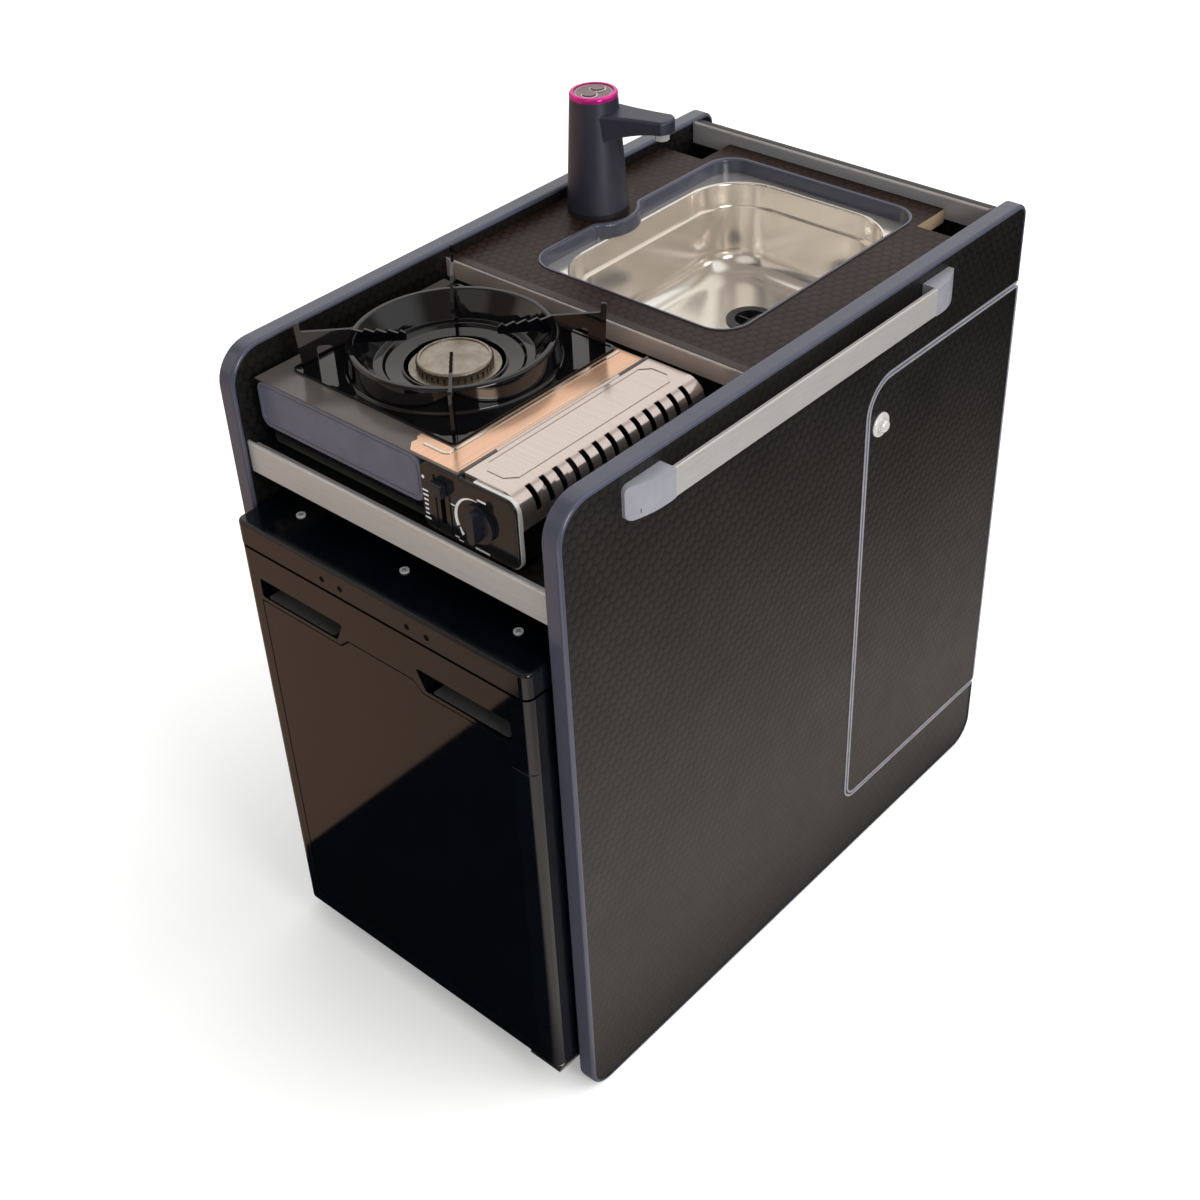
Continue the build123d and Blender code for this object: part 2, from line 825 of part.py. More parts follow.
# Tap
stub_foot = worktop_top + tap_base
body_foot = stub_foot + seat_clearance
body_top = worktop_top + tap_body_height
spout_dir = (cos(radians(spout_angle)), sin(radians(spout_angle)), 0)
spout_side = (sin(radians(spout_angle)), -cos(radians(spout_angle)), 0)
spout_plan = Plane(origin=(tap_x, tap_y, worktop_top), x_dir=spout_dir, z_dir=(0, 0, 1))
spout_profile = Plane(origin=(tap_x, tap_y, worktop_top), x_dir=spout_dir, z_dir=spout_side)

with BuildPart() as tap_base_ring:
    rod((tap_x, tap_y, worktop_top), (0, 0, 1), tap_base_r, tap_base)
    rod((tap_x, tap_y, stub_foot), (0, 0, 1), tap_stub_r, tap_stub)
    rod((tap_x, tap_y, worktop_top), (0, 0, -1), tap_tail_r, tap_tail_length)
    rod((tap_x, tap_y, worktop_top - tap_tail_length), (0, 0, -1), tap_spigot_r, tap_spigot_length)
    with BuildSketch(level(worktop_under - tap_nut)):
        with Locations((tap_x, tap_y)):
            RegularPolygon(tap_nut_r, 6)
    extrude(amount=tap_nut)

with BuildPart() as tap_body:
    with BuildSketch(spout_plan):
        with BuildLine():
            nose_x = spout_reach - spout_nose
            Bezier((0, -spout_root / 2), (spout_reach / 2, -spout_tip / 2), (nose_x, -spout_tip / 2))
            ThreePointArc((nose_x, -spout_tip / 2), (spout_reach, 0), (nose_x, spout_tip / 2))
            Bezier((nose_x, spout_tip / 2), (spout_reach / 2, spout_tip / 2), (0, spout_root / 2))
            Line((0, spout_root / 2), (0, -spout_root / 2))
        make_face()
    extrude(amount=spout_top)
    with BuildSketch(spout_profile):
        with BuildLine():
            root_under = (0, spout_top - spout_depth_root)
            tip_under = (spout_reach, spout_top - spout_depth_tip)
            Polyline(root_under, (0, spout_top), (spout_reach, spout_top), tip_under)
            Bezier(tip_under, (spout_reach / 2, spout_top - spout_depth_tip), root_under)
        make_face()
    extrude(amount=spout_root, both=True, mode=Mode.INTERSECT)
    upper_edges = tap_body.faces().sort_by(Axis.Z)[-1].edges()
    fillet(upper_edges.sort_by_distance((tap_x, tap_y, worktop_top + spout_top))[1:], spout_round)
    body_height = body_top - body_foot
    with Locations((tap_x, tap_y, body_foot)):
        Cone(tap_base_r, tap_top_r, body_height, align=(Align.CENTER, Align.CENTER, Align.MIN))
    rod((tap_x, tap_y, body_foot), (0, 0, 1), tap_stub_r + running_clearance, tap_stub, Mode.SUBTRACT)

with BuildPart() as tap_nozzle:
    nozzle_x = tap_x + (spout_reach - nozzle_inset) * spout_dir[0]
    nozzle_y = tap_y + (spout_reach - nozzle_inset) * spout_dir[1]
    rod(
        (nozzle_x, nozzle_y, worktop_top + spout_top - spout_depth_tip - nozzle_length), (0, 0, 1),
        nozzle_r, nozzle_length + spout_depth_tip / 2,
    )
    add(tap_body.part, mode=Mode.SUBTRACT)

ring_in = tap_top_r - tap_ring_lip
button_well = body_top + tap_ring - tap_top_sink - tap_button_depth

with BuildPart() as tap_collar:
    rod((tap_x, tap_y, body_top), (0, 0, 1), tap_top_r, tap_ring)
    fillet(tap_collar.faces().sort_by(Axis.Z)[-1].edges(), tap_ring_lip - tap_top_sink)
    rod((tap_x, tap_y, body_top), (0, 0, 1), ring_in, tap_ring, Mode.SUBTRACT)

button_spots = [
    (tap_x + side * tap_button_spread * spout_side[0], tap_y + side * tap_button_spread * spout_side[1])
    for side in (-1, 1)
]

with BuildPart() as tap_top:
    rod((tap_x, tap_y, body_top), (0, 0, 1), ring_in, tap_ring - tap_top_sink)
    for x, y in button_spots:
        rod((x, y, button_well), (0, 0, 1), tap_button_r + running_clearance, tap_button_depth, Mode.SUBTRACT)


def tap_button(spot):
    """Round button in its well, with room below it to travel."""
    travel_room = tap_button_rise + seat_clearance
    rod((*spot, button_well + travel_room), (0, 0, 1), tap_button_r, tap_button_depth + tap_button_gap)


with BuildPart() as tap_flow_button:
    tap_button(button_spots[0])

with BuildPart() as tap_power_button:
    tap_button(button_spots[1])

# Stove
stove_left = stove_left_gap - panel_in
stove_right = panel_in - stove_right_gap
case_bottom = shelf_top + stove_foot
case_top = case_bottom + stove_height
plate_top = case_top + stove_sheet
fascia_y = front_y + stove_front_gap
case_front = fascia_y + fascia
case_rear = worktop_y - stove_rear_gap
case_left = stove_left + fascia
case_right = stove_right - fascia
lid_z = plate_top + lid_knuckle_r - lid_knuckle_sink
knob_x = stove_right - knob_from_right
knob_z = case_bottom + knob_above_case
control_left = stove_right - control_width
lever_x = stove_right - lever_from_right
control_right = stove_right - control_inset
control_bottom = case_bottom - control_drop
control_y = case_front - control_panel
lever_low = case_top - lever_below_top
lever_mid = lever_low + lever_height / 2
lid_hinge_x = stove_right - lid_width
pan_plate = lid_hinge_x - stove_left - pan_left_margin - pan_right_margin
pan_rim_r = pan_plate / 2 - pan_rim_inset
pan_bowl_r = pan_rim_r - pan_bowl_slope
pan_hole_r = burner_cap_r + pan_hole_gap
burner_x = stove_left + pan_left_margin + pan_plate / 2
burner_y = fascia_y + burner_from_front
arc_x = stove_right - lid_round
arc_z = lid_z + lid_sheet / 2 - lid_round
bay_left = lid_hinge_x - lid_knuckle_r - stove_sheet
slot_half = lever_stem / 2 + lever_slot_clearance


def lever_slot(front, rear):
    """Slot that the cartridge lever's stem slides in."""
    block(
        (lever_x - slot_half, front, lever_mid - lever_travel - slot_half),
        (lever_x + slot_half, rear, lever_mid + slot_half),
        Mode.SUBTRACT,
    )


with BuildPart() as stove_case:
    with BuildSketch(level(case_bottom)):
        with Locations(((case_left + case_right) / 2, (case_front + case_rear) / 2)):
            RectangleRounded(case_right - case_left, case_rear - case_front, stove_case_r)
    extrude(amount=stove_height)
    with BuildSketch(level(case_bottom + stove_sheet)):
        with Locations(((case_left + case_right) / 2, (case_front + case_rear) / 2)):
            RectangleRounded(
                case_right - case_left - 2 * stove_sheet, case_rear - case_front - 2 * stove_sheet,
                stove_case_r - stove_sheet,
            )
    extrude(amount=stove_height, mode=Mode.SUBTRACT)
    block(
        (bay_left - stove_sheet, case_front + stove_sheet, case_bottom),
        (bay_left, case_rear - stove_sheet, case_top),
    )
    block(
        (arc_x, case_front - fascia, arc_z),
        (stove_right, case_rear + fascia, case_top + fascia),
        Mode.SUBTRACT,
    )
    rod(
        (knob_x, case_front - fascia, knob_z), (0, 1, 0),
        knob_shaft_r + seat_clearance, 2 * fascia, Mode.SUBTRACT,
    )
    lever_slot(case_front - fascia, case_front + fascia)
    rod(
        (bay_left - 2 * stove_sheet, burner_y, case_bottom + burner_tube_height), (1, 0, 0),
        burner_tube_r + seat_clearance, 4 * stove_sheet, Mode.SUBTRACT,
    )
    for x in (stove_left + stove_foot_inset, stove_right - stove_foot_inset):
        for y in (case_front + stove_foot_inset, case_rear - stove_foot_inset):
            rod((x, y, shelf_top), (0, 0, 1), stove_foot_r, stove_foot)

knuckle_y = (case_front, case_front + lid_knuckle_share, case_rear - lid_knuckle_share, case_rear)
plate_right = lid_hinge_x - lid_knuckle_r - seat_clearance

with BuildPart() as stove_top_plate:
    block((stove_left, fascia_y, case_top), (plate_right, case_rear, plate_top))
    with Locations((burner_x, burner_y, case_top)):
        Cylinder(pan_bowl_r + top_plate_hole_gap, 2 * fascia, mode=Mode.SUBTRACT)
    for start, end in ((knuckle_y[0], knuckle_y[1]), (knuckle_y[2], knuckle_y[3])):
        rod((lid_hinge_x, start, lid_z), (0, 1, 0), lid_knuckle_r, end - start)
        block((plate_right - lid_knuckle_r, start, case_top), (lid_hinge_x, end, plate_top))
    rod(
        (lid_hinge_x, case_front - fascia, lid_z), (0, 1, 0),
        lid_pin_r + running_clearance, case_rear - case_front + 2 * fascia, Mode.SUBTRACT,
    )

with BuildPart() as lid_hinge_pin:
    rod((lid_hinge_x, case_front, lid_z), (0, 1, 0), lid_pin_r, case_rear - case_front)

lid_front = case_front + seat_clearance
lid_under = lid_z - lid_sheet / 2

with BuildPart() as stove_lid:
    with BuildSketch(from_front(case_rear)):
        with BuildLine():
            Line((lid_hinge_x, lid_z + lid_sheet / 2), (arc_x, lid_z + lid_sheet / 2))
            CenterArc((arc_x, arc_z), lid_round, 0, 90)
            Polyline(
                (stove_right, arc_z), (stove_right, arc_z - lid_skirt),
                (stove_right - lid_sheet, arc_z - lid_skirt), (stove_right - lid_sheet, arc_z),
            )
            CenterArc((arc_x, arc_z), lid_round - lid_sheet, 0, 90)
            Polyline((arc_x, lid_under), (lid_hinge_x, lid_under), (lid_hinge_x, lid_z + lid_sheet / 2))
        make_face()
    extrude(amount=case_rear - lid_front)
    rod(
        (lid_hinge_x, knuckle_y[1] + seat_clearance, lid_z), (0, 1, 0),
        lid_knuckle_r, knuckle_y[2] - knuckle_y[1] - 2 * seat_clearance,
    )
    rod(
        (lid_hinge_x, case_front, lid_z), (0, 1, 0),
        lid_pin_r + running_clearance, case_rear - case_front, Mode.SUBTRACT,
    )
    for start, end in ((knuckle_y[0], knuckle_y[1]), (knuckle_y[2], knuckle_y[3])):
        block(
            (lid_hinge_x - lid_knuckle_r, start - seat_clearance, lid_z - lid_knuckle_r),
            (lid_hinge_x + lid_knuckle_r + seat_clearance, end + seat_clearance, lid_z + lid_knuckle_r),
            Mode.SUBTRACT,
        )
    for edge_y in (lid_front, case_rear - lid_sheet):
        block(
            (lid_hinge_x + lid_knuckle_r + seat_clearance, edge_y, case_top + seat_clearance),
            (arc_x, edge_y + lid_sheet, lid_z),
        )
    slot_middle = (lid_front + case_rear) / 2
    for i in range(lid_slots):
        slot_y = slot_middle + (i - (lid_slots - 1) / 2) * lid_slot_pitch
        block(
            (stove_right - lid_slot_reach, slot_y - lid_slot_width / 2, arc_z - lid_sheet),
            (stove_right + lid_sheet, slot_y + lid_slot_width / 2, lid_z + lid_round),
            Mode.SUBTRACT,
        )

with BuildPart() as stove_front:
    with BuildSketch(from_front(case_front)):
        fascia_right = control_left - seat_clearance
        with Locations(((stove_left + fascia_right) / 2, case_top - fascia_height / 2)):
            RectangleRounded(fascia_right - stove_left, fascia_height, fascia_r)
    extrude(amount=fascia)
    front_rim = stove_front.faces().sort_by(Axis.Y)[0].edges()
    fillet(front_rim, fascia / 3)

with BuildPart() as stove_control_panel:
    control_height = case_top - control_bottom
    with BuildSketch(from_front(case_front)):
        with Locations(((control_left + control_right) / 2, control_bottom + control_height / 2)):
            RectangleRounded(control_right - control_left, control_height, fascia_r)
    extrude(amount=control_panel)
    control_rim = stove_control_panel.faces().sort_by(Axis.Y)[0].edges()
    fillet(control_rim, control_panel / 3)
    rod((knob_x, control_y, knob_z), (0, 1, 0), knob_shaft_r + seat_clearance, control_panel, Mode.SUBTRACT)
    lever_slot(control_y, case_front)

regulator_front = case_front + stove_sheet
shaft_end = regulator_front + regulator_depth / 2

with BuildPart() as gas_regulator:
    block(
        (knob_x - regulator_width / 2, regulator_front, knob_z - regulator_height / 2 + stove_sheet),
        (knob_x + regulator_width / 2, regulator_front + regulator_depth, knob_z + regulator_height / 2),
    )
    rod((knob_x, regulator_front + regulator_depth, knob_z), (0, 1, 0), regulator_collar_r, regulator_collar)
    rod(
        (knob_x, regulator_front + regulator_depth + regulator_collar / 3, knob_z), (0, 1, 0),
        regulator_collar_r * 2 / 3, regulator_collar, Mode.SUBTRACT,
    )
    rod(
        (knob_x, regulator_front, knob_z), (0, 1, 0),
        knob_shaft_r + running_clearance, regulator_depth / 2, Mode.SUBTRACT,
    )

knob_back = control_y - seat_clearance

with BuildPart() as stove_knob:
    rod((knob_x, knob_back, knob_z), (0, -1, 0), knob_r, knob_skirt)
    with BuildSketch(from_front(knob_back - knob_skirt)):
        with Locations((knob_x, knob_z)):
            SlotOverall(2 * knob_r - knob_skirt, knob_grip_width, rotation=90)
    extrude(amount=knob_grip, taper=knob_draft)
    rod((knob_x, knob_back, knob_z), (0, 1, 0), knob_shaft_r, shaft_end - knob_back - seat_clearance)

with BuildPart() as stove_lever:
    block(
        (lever_x - lever_width / 2, control_y - seat_clearance - lever_out, lever_low),
        (lever_x + lever_width / 2, control_y - seat_clearance, lever_low + lever_height),
    )
    grip_edges = stove_lever.edges().filter_by(Axis.X).group_by(Axis.Y)[0]
    fillet(grip_edges, lever_out / 4)
    block(
        (lever_x - lever_stem / 2, control_y - lever_out, lever_mid - lever_stem / 2),
        (lever_x + lever_stem / 2, case_front + 2 * stove_sheet, lever_mid + lever_stem / 2),
    )
    block(
        (lever_x - lever_width / 2, case_front + stove_sheet + seat_clearance, lever_low),
        (lever_x + lever_width / 2, case_front + 3 * stove_sheet, lever_low + lever_height),
    )

burner_seat = case_bottom + stove_sheet
burner_head = plate_top + burner_rise - burner_cap

burner_axis = Axis((burner_x, burner_y, 0), (0, 0, 1))


def burner_plane(turn):
    """Upright plane through the burner: local x runs outwards, local y up."""
    c, s = cos(radians(turn)), sin(radians(turn))
    return Plane(origin=(burner_x, burner_y, 0), x_dir=(c, s, 0), z_dir=(s, -c, 0))


with BuildPart() as burner_body:
    with BuildSketch(burner_plane(0)):
        with BuildLine():
            neck_top = burner_seat + 2 * burner_tube_height
            Polyline(
                (0, burner_seat), (burner_neck_r, burner_seat), (burner_neck_r, neck_top),
                (burner_cap_r, burner_head - burner_base), (burner_base_r, burner_head - burner_base),
                (burner_base_r, burner_head), (0, burner_head), close=True,
            )
        make_face()
    revolve(axis=burner_axis)
    tube_z = case_bottom + burner_tube_height
    rod((burner_x, burner_y, tube_z), (1, 0, 0), burner_tube_r, bay_left - burner_x)

with BuildPart() as burner_cap_disc:
    with Locations((burner_x, burner_y, burner_head)):
        Cylinder(burner_cap_r, burner_cap, align=(Align.CENTER, Align.CENTER, Align.MIN))
    fillet(burner_cap_disc.faces().sort_by(Axis.Z)[-1].edges(), burner_cap / 3)
    rod(
        (burner_x, burner_y, burner_head + burner_cap), (0, 0, -1),
        burner_cap_r - burner_cap_ring, burner_cap_sink, Mode.SUBTRACT,
    )
    with BuildSketch(level(burner_head)):
        with Locations((burner_x, burner_y)):
            with PolarLocations(burner_cap_r, burner_rim_slots):
                Rectangle(2 * burner_slot_depth, burner_slot_width)
    extrude(amount=burner_cap / 2, mode=Mode.SUBTRACT)

# Pan support: square plate, raised rim, dish round the burner and four toothed arms
pan_top = plate_top + pan_sheet
rim_z = plate_top + pan_rim_height
bowl_z = plate_top - pan_bowl_drop
dish_hole = pan_rim_r + pan_flare
bar_top = plate_top + arm_height
prong_top = bar_top + arm_prong_height
crest_top = bar_top - arm_bar_fall
bar_under = crest_top - arm_bar_depth
rim_mid = rim_z - pan_sheet / 2
arm_post_r = pan_plate / sqrt(2) - arm_corner_inset
prong_in = arm_post_r + arm_lean - arm_prong_width
window_out = arm_post_r - arm_leg
window_in = window_out - arm_window_width
window_top = plate_top + arm_window_height
teeth_out = pan_rim_r - pan_rim_flat
arm_tip_r = pan_hole_r - arm_overhang


def arm_outline():
    """Two-legged post at the plate's corner and a toothed bar in towards the burner."""
    tooth = (teeth_out - arm_tip_r - arm_nose - arm_tooth_depth) / arm_teeth
    teeth = []
    for i in range(1, arm_teeth + 1):
        crest = bar_top - i * arm_bar_fall / arm_teeth
        notch = teeth_out - i * tooth
        teeth.append((notch, crest - arm_tooth_depth, 0))
        teeth.append((notch - arm_tooth_depth, crest, 0))
    corners = [
        (arm_post_r, plate_top, 0), (arm_post_r + arm_lean, prong_top, arm_round),
        (prong_in, prong_top, arm_round), (prong_in, bar_top, arm_round), (teeth_out, bar_top, 0), *teeth,
        (arm_tip_r, crest_top - arm_nose_drop, arm_round), (arm_tip_r, bar_under, arm_round),
        (teeth_out, rim_mid, 0), (pan_rim_r + pan_wall_lean, plate_top, 0), (window_in, plate_top, 0),
        (window_in, window_top, arm_window_r), (window_out, window_top, arm_window_r),
        (window_out, plate_top, 0),
    ]
    with BuildLine() as outline:
        FilletPolyline(
            *[(r, z) for r, z, bend in corners], radius=[bend for r, z, bend in corners], close=True,
        )
    make_face(outline.edges())


with BuildPart() as pan_support:
    with BuildSketch(level(plate_top)):
        with Locations((burner_x, burner_y)):
            RectangleRounded(pan_plate, pan_plate, pan_plate_r)
            Circle(dish_hole - pan_sheet, mode=Mode.SUBTRACT)
    extrude(amount=pan_sheet)
    with BuildSketch(level(pan_top)):
        with Locations((burner_x, burner_y)):
            RectangleRounded(pan_plate, pan_plate, pan_plate_r)
            RectangleRounded(
                pan_plate - 2 * pan_bead, pan_plate - 2 * pan_bead, pan_plate_r - pan_bead,
                mode=Mode.SUBTRACT,
            )
    extrude(amount=pan_bead_height)
    with BuildSketch(burner_plane(0)):
        with BuildLine():
            plate_mid = plate_top + pan_sheet / 2
            step_r = pan_bowl_r - pan_step
            FilletPolyline(
                (dish_hole, plate_mid), (pan_rim_r + pan_wall_lean, plate_mid), (pan_rim_r, rim_mid),
                (pan_rim_r - pan_rim_flat, rim_mid), (pan_bowl_r, plate_mid), (step_r, plate_mid),
                (step_r - pan_step_drop, plate_mid - pan_step_drop), (pan_hole_r, bowl_z),
                (pan_hole_r, bowl_z + pan_lip),
                radius=[
                    pan_cove_r, pan_rim_r_top, pan_rim_r_top, pan_rim_r_top, pan_lip_r, pan_lip_r, pan_lip_r,
                ],
            )
        trace(line_width=pan_sheet)
    revolve(axis=burner_axis)
    for turn in (45, 135, 225, 315):
        with BuildSketch(burner_plane(turn)):
            arm_outline()
        extrude(amount=arm_sheet / 2, both=True)

# Fridge
fridge_x = panel_in - fridge_side_gap
fridge_width = 2 * fridge_x
fridge_top_under = shelf_under - fridge_air_gap - fridge_top_height
door_back = fridge_front + fridge_door
shell_front = door_back + fridge_door_gap
bay_front = shell_rear - compressor_bay_depth
bay_top = fridge_bottom + compressor_bay_height
bay_x = fridge_x - compressor_bay_side
fridge_shelf_z = (fridge_bottom + fridge_top_under) / 2
door_top_z = fridge_top_under - fridge_door_top_gap
hinge_x = fridge_x - hinge_inset
hinge_y = fridge_front + hinge_back


def cavity(inset, mode):
    """Cold space in Y and Z, stepped over the compressor bay, open at the front."""
    half = fridge_x - fridge_wall - inset
    low = fridge_bottom + fridge_wall + inset
    high = fridge_top_under - fridge_wall - inset
    rear = shell_rear - fridge_wall - inset
    step_y = bay_front - fridge_wall - inset
    step_z = bay_top + fridge_wall + inset
    with BuildSketch(from_side(-half)) as section:
        with BuildLine():
            Polyline(
                (shell_front, low), (step_y, low), (step_y, step_z), (rear, step_z),
                (rear, high), (shell_front, high), close=True,
            )
        make_face()
    extrude(section.sketch, amount=2 * half, mode=mode)


with BuildPart() as fridge_shell:
    block((-fridge_x, shell_front, fridge_bottom), (fridge_x, shell_rear, fridge_top_under))
    cavity(0, Mode.SUBTRACT)
    block(
        (-bay_x, bay_front, fridge_bottom),
        (bay_x, shell_rear, bay_top),
        Mode.SUBTRACT,
    )

shelf_half = fridge_x - fridge_wall - liner
cavity_rear = shell_rear - fridge_wall - liner

with BuildPart() as fridge_liner:
    cavity(0, Mode.ADD)
    cavity(liner, Mode.SUBTRACT)
    for side in (-1, 1):
        x_low, x_high = sorted((side * shelf_half, side * (shelf_half - shelf_rib)))
        block(
            (x_low, shell_front + fridge_wall, fridge_shelf_z - shelf_rib),
            (x_high, cavity_rear, fridge_shelf_z),
        )

with BuildPart() as fridge_shelf_plate:
    block(
        (-shelf_half + board_fit, shell_front + fridge_wall, fridge_shelf_z),
        (shelf_half - board_fit, cavity_rear - board_fit, fridge_shelf_z + fridge_shelf),
    )

with BuildPart() as fridge_top:
    with BuildSketch(level(fridge_top_under)):
        with Locations((0, (fridge_front + shell_rear) / 2)):
            RectangleRounded(fridge_width, shell_rear - fridge_front, fridge_top_r)
    extrude(amount=fridge_top_height)
    fillet(fridge_top.faces().sort_by(Axis.Z)[-1].edges(), fridge_top_edge_r)
    rod(
        (hinge_x, hinge_y, fridge_top_under), (0, 0, 1),
        hinge_pin_r + running_clearance, hinge_pin_in_top, Mode.SUBTRACT,
    )

with BuildPart() as fridge_top_screws:
    screw_z = fridge_top_under + fridge_top_height
    for x in (screw_side - fridge_x, 0, fridge_x - screw_side):
        rod((x, front_y + screw_row, screw_z), (0, 0, 1), screw_head_r, screw_head)

with BuildPart() as fridge_feet:
    for x in (fridge_foot_inset - fridge_x, fridge_x - fridge_foot_inset):
        for y in (shell_front + fridge_foot_inset, shell_rear - fridge_foot_inset):
            rod((x, y, floor_board), (0, 0, 1), fridge_foot_r, fridge_bottom - floor_board)

with BuildPart() as compressor:
    bay_half = bay_x - board_fit
    block((-bay_half, bay_front, fridge_bottom), (bay_half, shell_rear, fridge_bottom + compressor_plate))
    compressor_y = (bay_front + shell_rear) / 2
    can_foot = fridge_bottom + compressor_plate
    with BuildSketch(level(can_foot)):
        with Locations((compressor_x, compressor_y)):
            Ellipse(compressor_r, compressor_bay_depth / 2 - compressor_plate)
    extrude(amount=compressor_height)
    fillet(compressor.faces().sort_by(Axis.Z)[-1].edges(), compressor_r / 4)

with BuildPart() as fridge_hinges:
    plate_low = fridge_bottom - hinge_plate
    block(
        (hinge_x - hinge_plate_width, hinge_y - hinge_inset, plate_low),
        (hinge_x + hinge_inset, shell_front + hinge_plate_rear, fridge_bottom),
    )
    collar = fridge_door_bottom - seat_clearance - fridge_bottom
    rod((hinge_x, hinge_y, fridge_bottom), (0, 0, 1), hinge_collar_r, collar)
    rod((hinge_x, hinge_y, fridge_bottom), (0, 0, 1), hinge_pin_r, collar + hinge_pin_in_door)
    rod(
        (hinge_x, hinge_y, fridge_top_under + hinge_pin_in_top), (0, 0, -1),
        hinge_pin_r, hinge_pin_in_top + fridge_door_top_gap + hinge_pin_in_door,
    )


# Fridge door
def door_hinge_bores():
    for edge, way in ((fridge_door_bottom, 1), (door_top_z, -1)):
        rod(
            (hinge_x, hinge_y, edge), (0, 0, way),
            hinge_pin_r + running_clearance, hinge_pin_in_door + seat_clearance, Mode.SUBTRACT,
        )


cap_bottom = door_top_z - cap_height
panel_left = -fridge_x + gloss_left
panel_right = fridge_x - gloss_right
panel_low = fridge_door_bottom + gloss_bottom
cap_middle = door_top_z - cap_mid_height
cap_lobe = cap_middle - cap_lobe_drop


def gloss_outline(gap):
    """Gloss panel in X and Z: its upper edge rises between the pulls; inset by a gap all round."""
    left, right = panel_left + gap, panel_right - gap
    lobe, middle = cap_lobe - gap, cap_middle - gap
    rise_top = pull_inner - gap
    rise_foot = rise_top + cap_lobe_slant
    with BuildLine() as outline:
        FilletPolyline(
            (left, panel_low + gap), (right, panel_low + gap), (right, lobe), (rise_foot, lobe),
            (rise_top, middle), (-rise_top, middle), (-rise_foot, lobe), (left, lobe),
            radius=gloss_r, close=True,
        )
    make_face(outline.edges())


def gloss_recess():
    with BuildSketch(from_front(fridge_front + gloss_panel)) as recess:
        gloss_outline(0)
    extrude(recess.sketch, amount=gloss_panel, mode=Mode.SUBTRACT)


with BuildPart() as fridge_door_body:
    with BuildSketch(level(fridge_door_bottom)):
        with Locations((0, (fridge_front + door_back) / 2)):
            RectangleRounded(fridge_width, fridge_door, fridge_door_r)
    extrude(amount=cap_bottom - fridge_door_bottom)
    chamfer(fridge_door_body.faces().sort_by(Axis.Z)[-1].edges(), door_seam)
    gloss_recess()
    door_hinge_bores()

with BuildPart() as fridge_door_panel:
    with BuildSketch(from_front(fridge_front + gloss_panel)):
        gloss_outline(gloss_gap)
    extrude(amount=gloss_panel - gloss_gap)

with BuildPart() as fridge_door_cap:
    with BuildSketch(level(cap_bottom)):
        with Locations((0, (fridge_front + door_back) / 2)):
            RectangleRounded(fridge_width, fridge_door, fridge_door_r)
    extrude(amount=door_top_z - cap_bottom)
    chamfer(fridge_door_cap.faces().sort_by(Axis.Z)[0].edges(), door_seam)
    gloss_recess()
    pull_low = cap_lobe + pull_lip
    pull_top = pull_low + pull_height
    pull_in = pull_inner + pull_lip
    pull_out = fridge_x - pull_outer
    with BuildSketch(from_front(fridge_front + pull_depth)):
        for side in (-1, 1):
            with BuildLine():
                FilletPolyline(
                    (side * pull_in, pull_top), (side * (pull_in + cap_lobe_slant), pull_low),
                    (side * pull_out, pull_low), (side * pull_out, pull_top),
                    radius=pull_r, close=True,
                )
            make_face()
    extrude(amount=pull_depth, mode=Mode.SUBTRACT)
    door_hinge_bores()

with BuildPart() as fridge_gasket:
    half = fridge_x - gasket_edge
    low, high = fridge_door_bottom + gasket_edge, door_top_z - gasket_edge
    block((-half, door_back, low), (half, shell_front - seat_clearance, high))
    block(
        (-half + gasket_width, door_back, low + gasket_width),
        (half - gasket_width, shell_front, high - gasket_width),
        Mode.SUBTRACT,
    )

pieces = {
    "left_side_panel": left_side_panel,
    "left_panel_trim": left_panel_trim,
    "right_side_panel": right_side_panel,
    "right_panel_trim": right_panel_trim,
    "door_opening_band": door_opening_band,
    "door_pivot_pins": door_pivot_pins,
    "floor_panel": floor_panel,
    "back_panel": back_panel,
    "divider_panel": divider_panel,
    "stove_shelf": stove_shelf,
    "stove_bay_riser": stove_bay_riser,
    "support_battens": support_battens,
    "worktop": worktop,
    "sink_cutout_trim": sink_cutout_trim,
    "front_rail": front_rail,
    "worktop_edge_rail": worktop_edge_rail,
    "rear_rail": rear_rail,
    "handle_bar": handle_bar,
    "handle_end_caps": handle_end_caps,
    "cupboard_door": cupboard_door,
    "cupboard_door_band": cupboard_door_band,
    "lock_rosette": lock_rosette,
    "lock_case": lock_case,
    "lock_button": lock_button,
    "lock_latch": lock_latch,
    "lock_keeper": lock_keeper,
    "sink_bowl": sink_bowl,
    "sink_waste": sink_waste,
    "waste_nut": waste_nut,
    "tap_base": tap_base_ring,
    "tap_body": tap_body,
    "tap_nozzle": tap_nozzle,
    "tap_ring": tap_collar,
    "tap_top": tap_top,
    "tap_flow_button": tap_flow_button,
    "tap_power_button": tap_power_button,
    "stove_case": stove_case,
    "stove_top_plate": stove_top_plate,
    "lid_hinge_pin": lid_hinge_pin,
    "stove_lid": stove_lid,
    "stove_front": stove_front,
    "stove_control_panel": stove_control_panel,
    "gas_regulator": gas_regulator,
    "stove_knob": stove_knob,
    "stove_lever": stove_lever,
    "burner_body": burner_body,
    "burner_cap": burner_cap_disc,
    "pan_support": pan_support,
    "fridge_shell": fridge_shell,
    "fridge_liner": fridge_liner,
    "fridge_shelf": fridge_shelf_plate,
    "fridge_top": fridge_top,
    "fridge_top_screws": fridge_top_screws,
    "fridge_feet": fridge_feet,
    "compressor": compressor,
    "fridge_hinges": fridge_hinges,
    "fridge_door": fridge_door_body,
    "fridge_door_panel": fridge_door_panel,
    "fridge_door_cap": fridge_door_cap,
    "fridge_gasket": fridge_gasket,
}

os.makedirs("parts", exist_ok=True)
for name, piece in pieces.items():
    piece.part.label = name
    export_step(piece.part, f"parts/{name}.step")
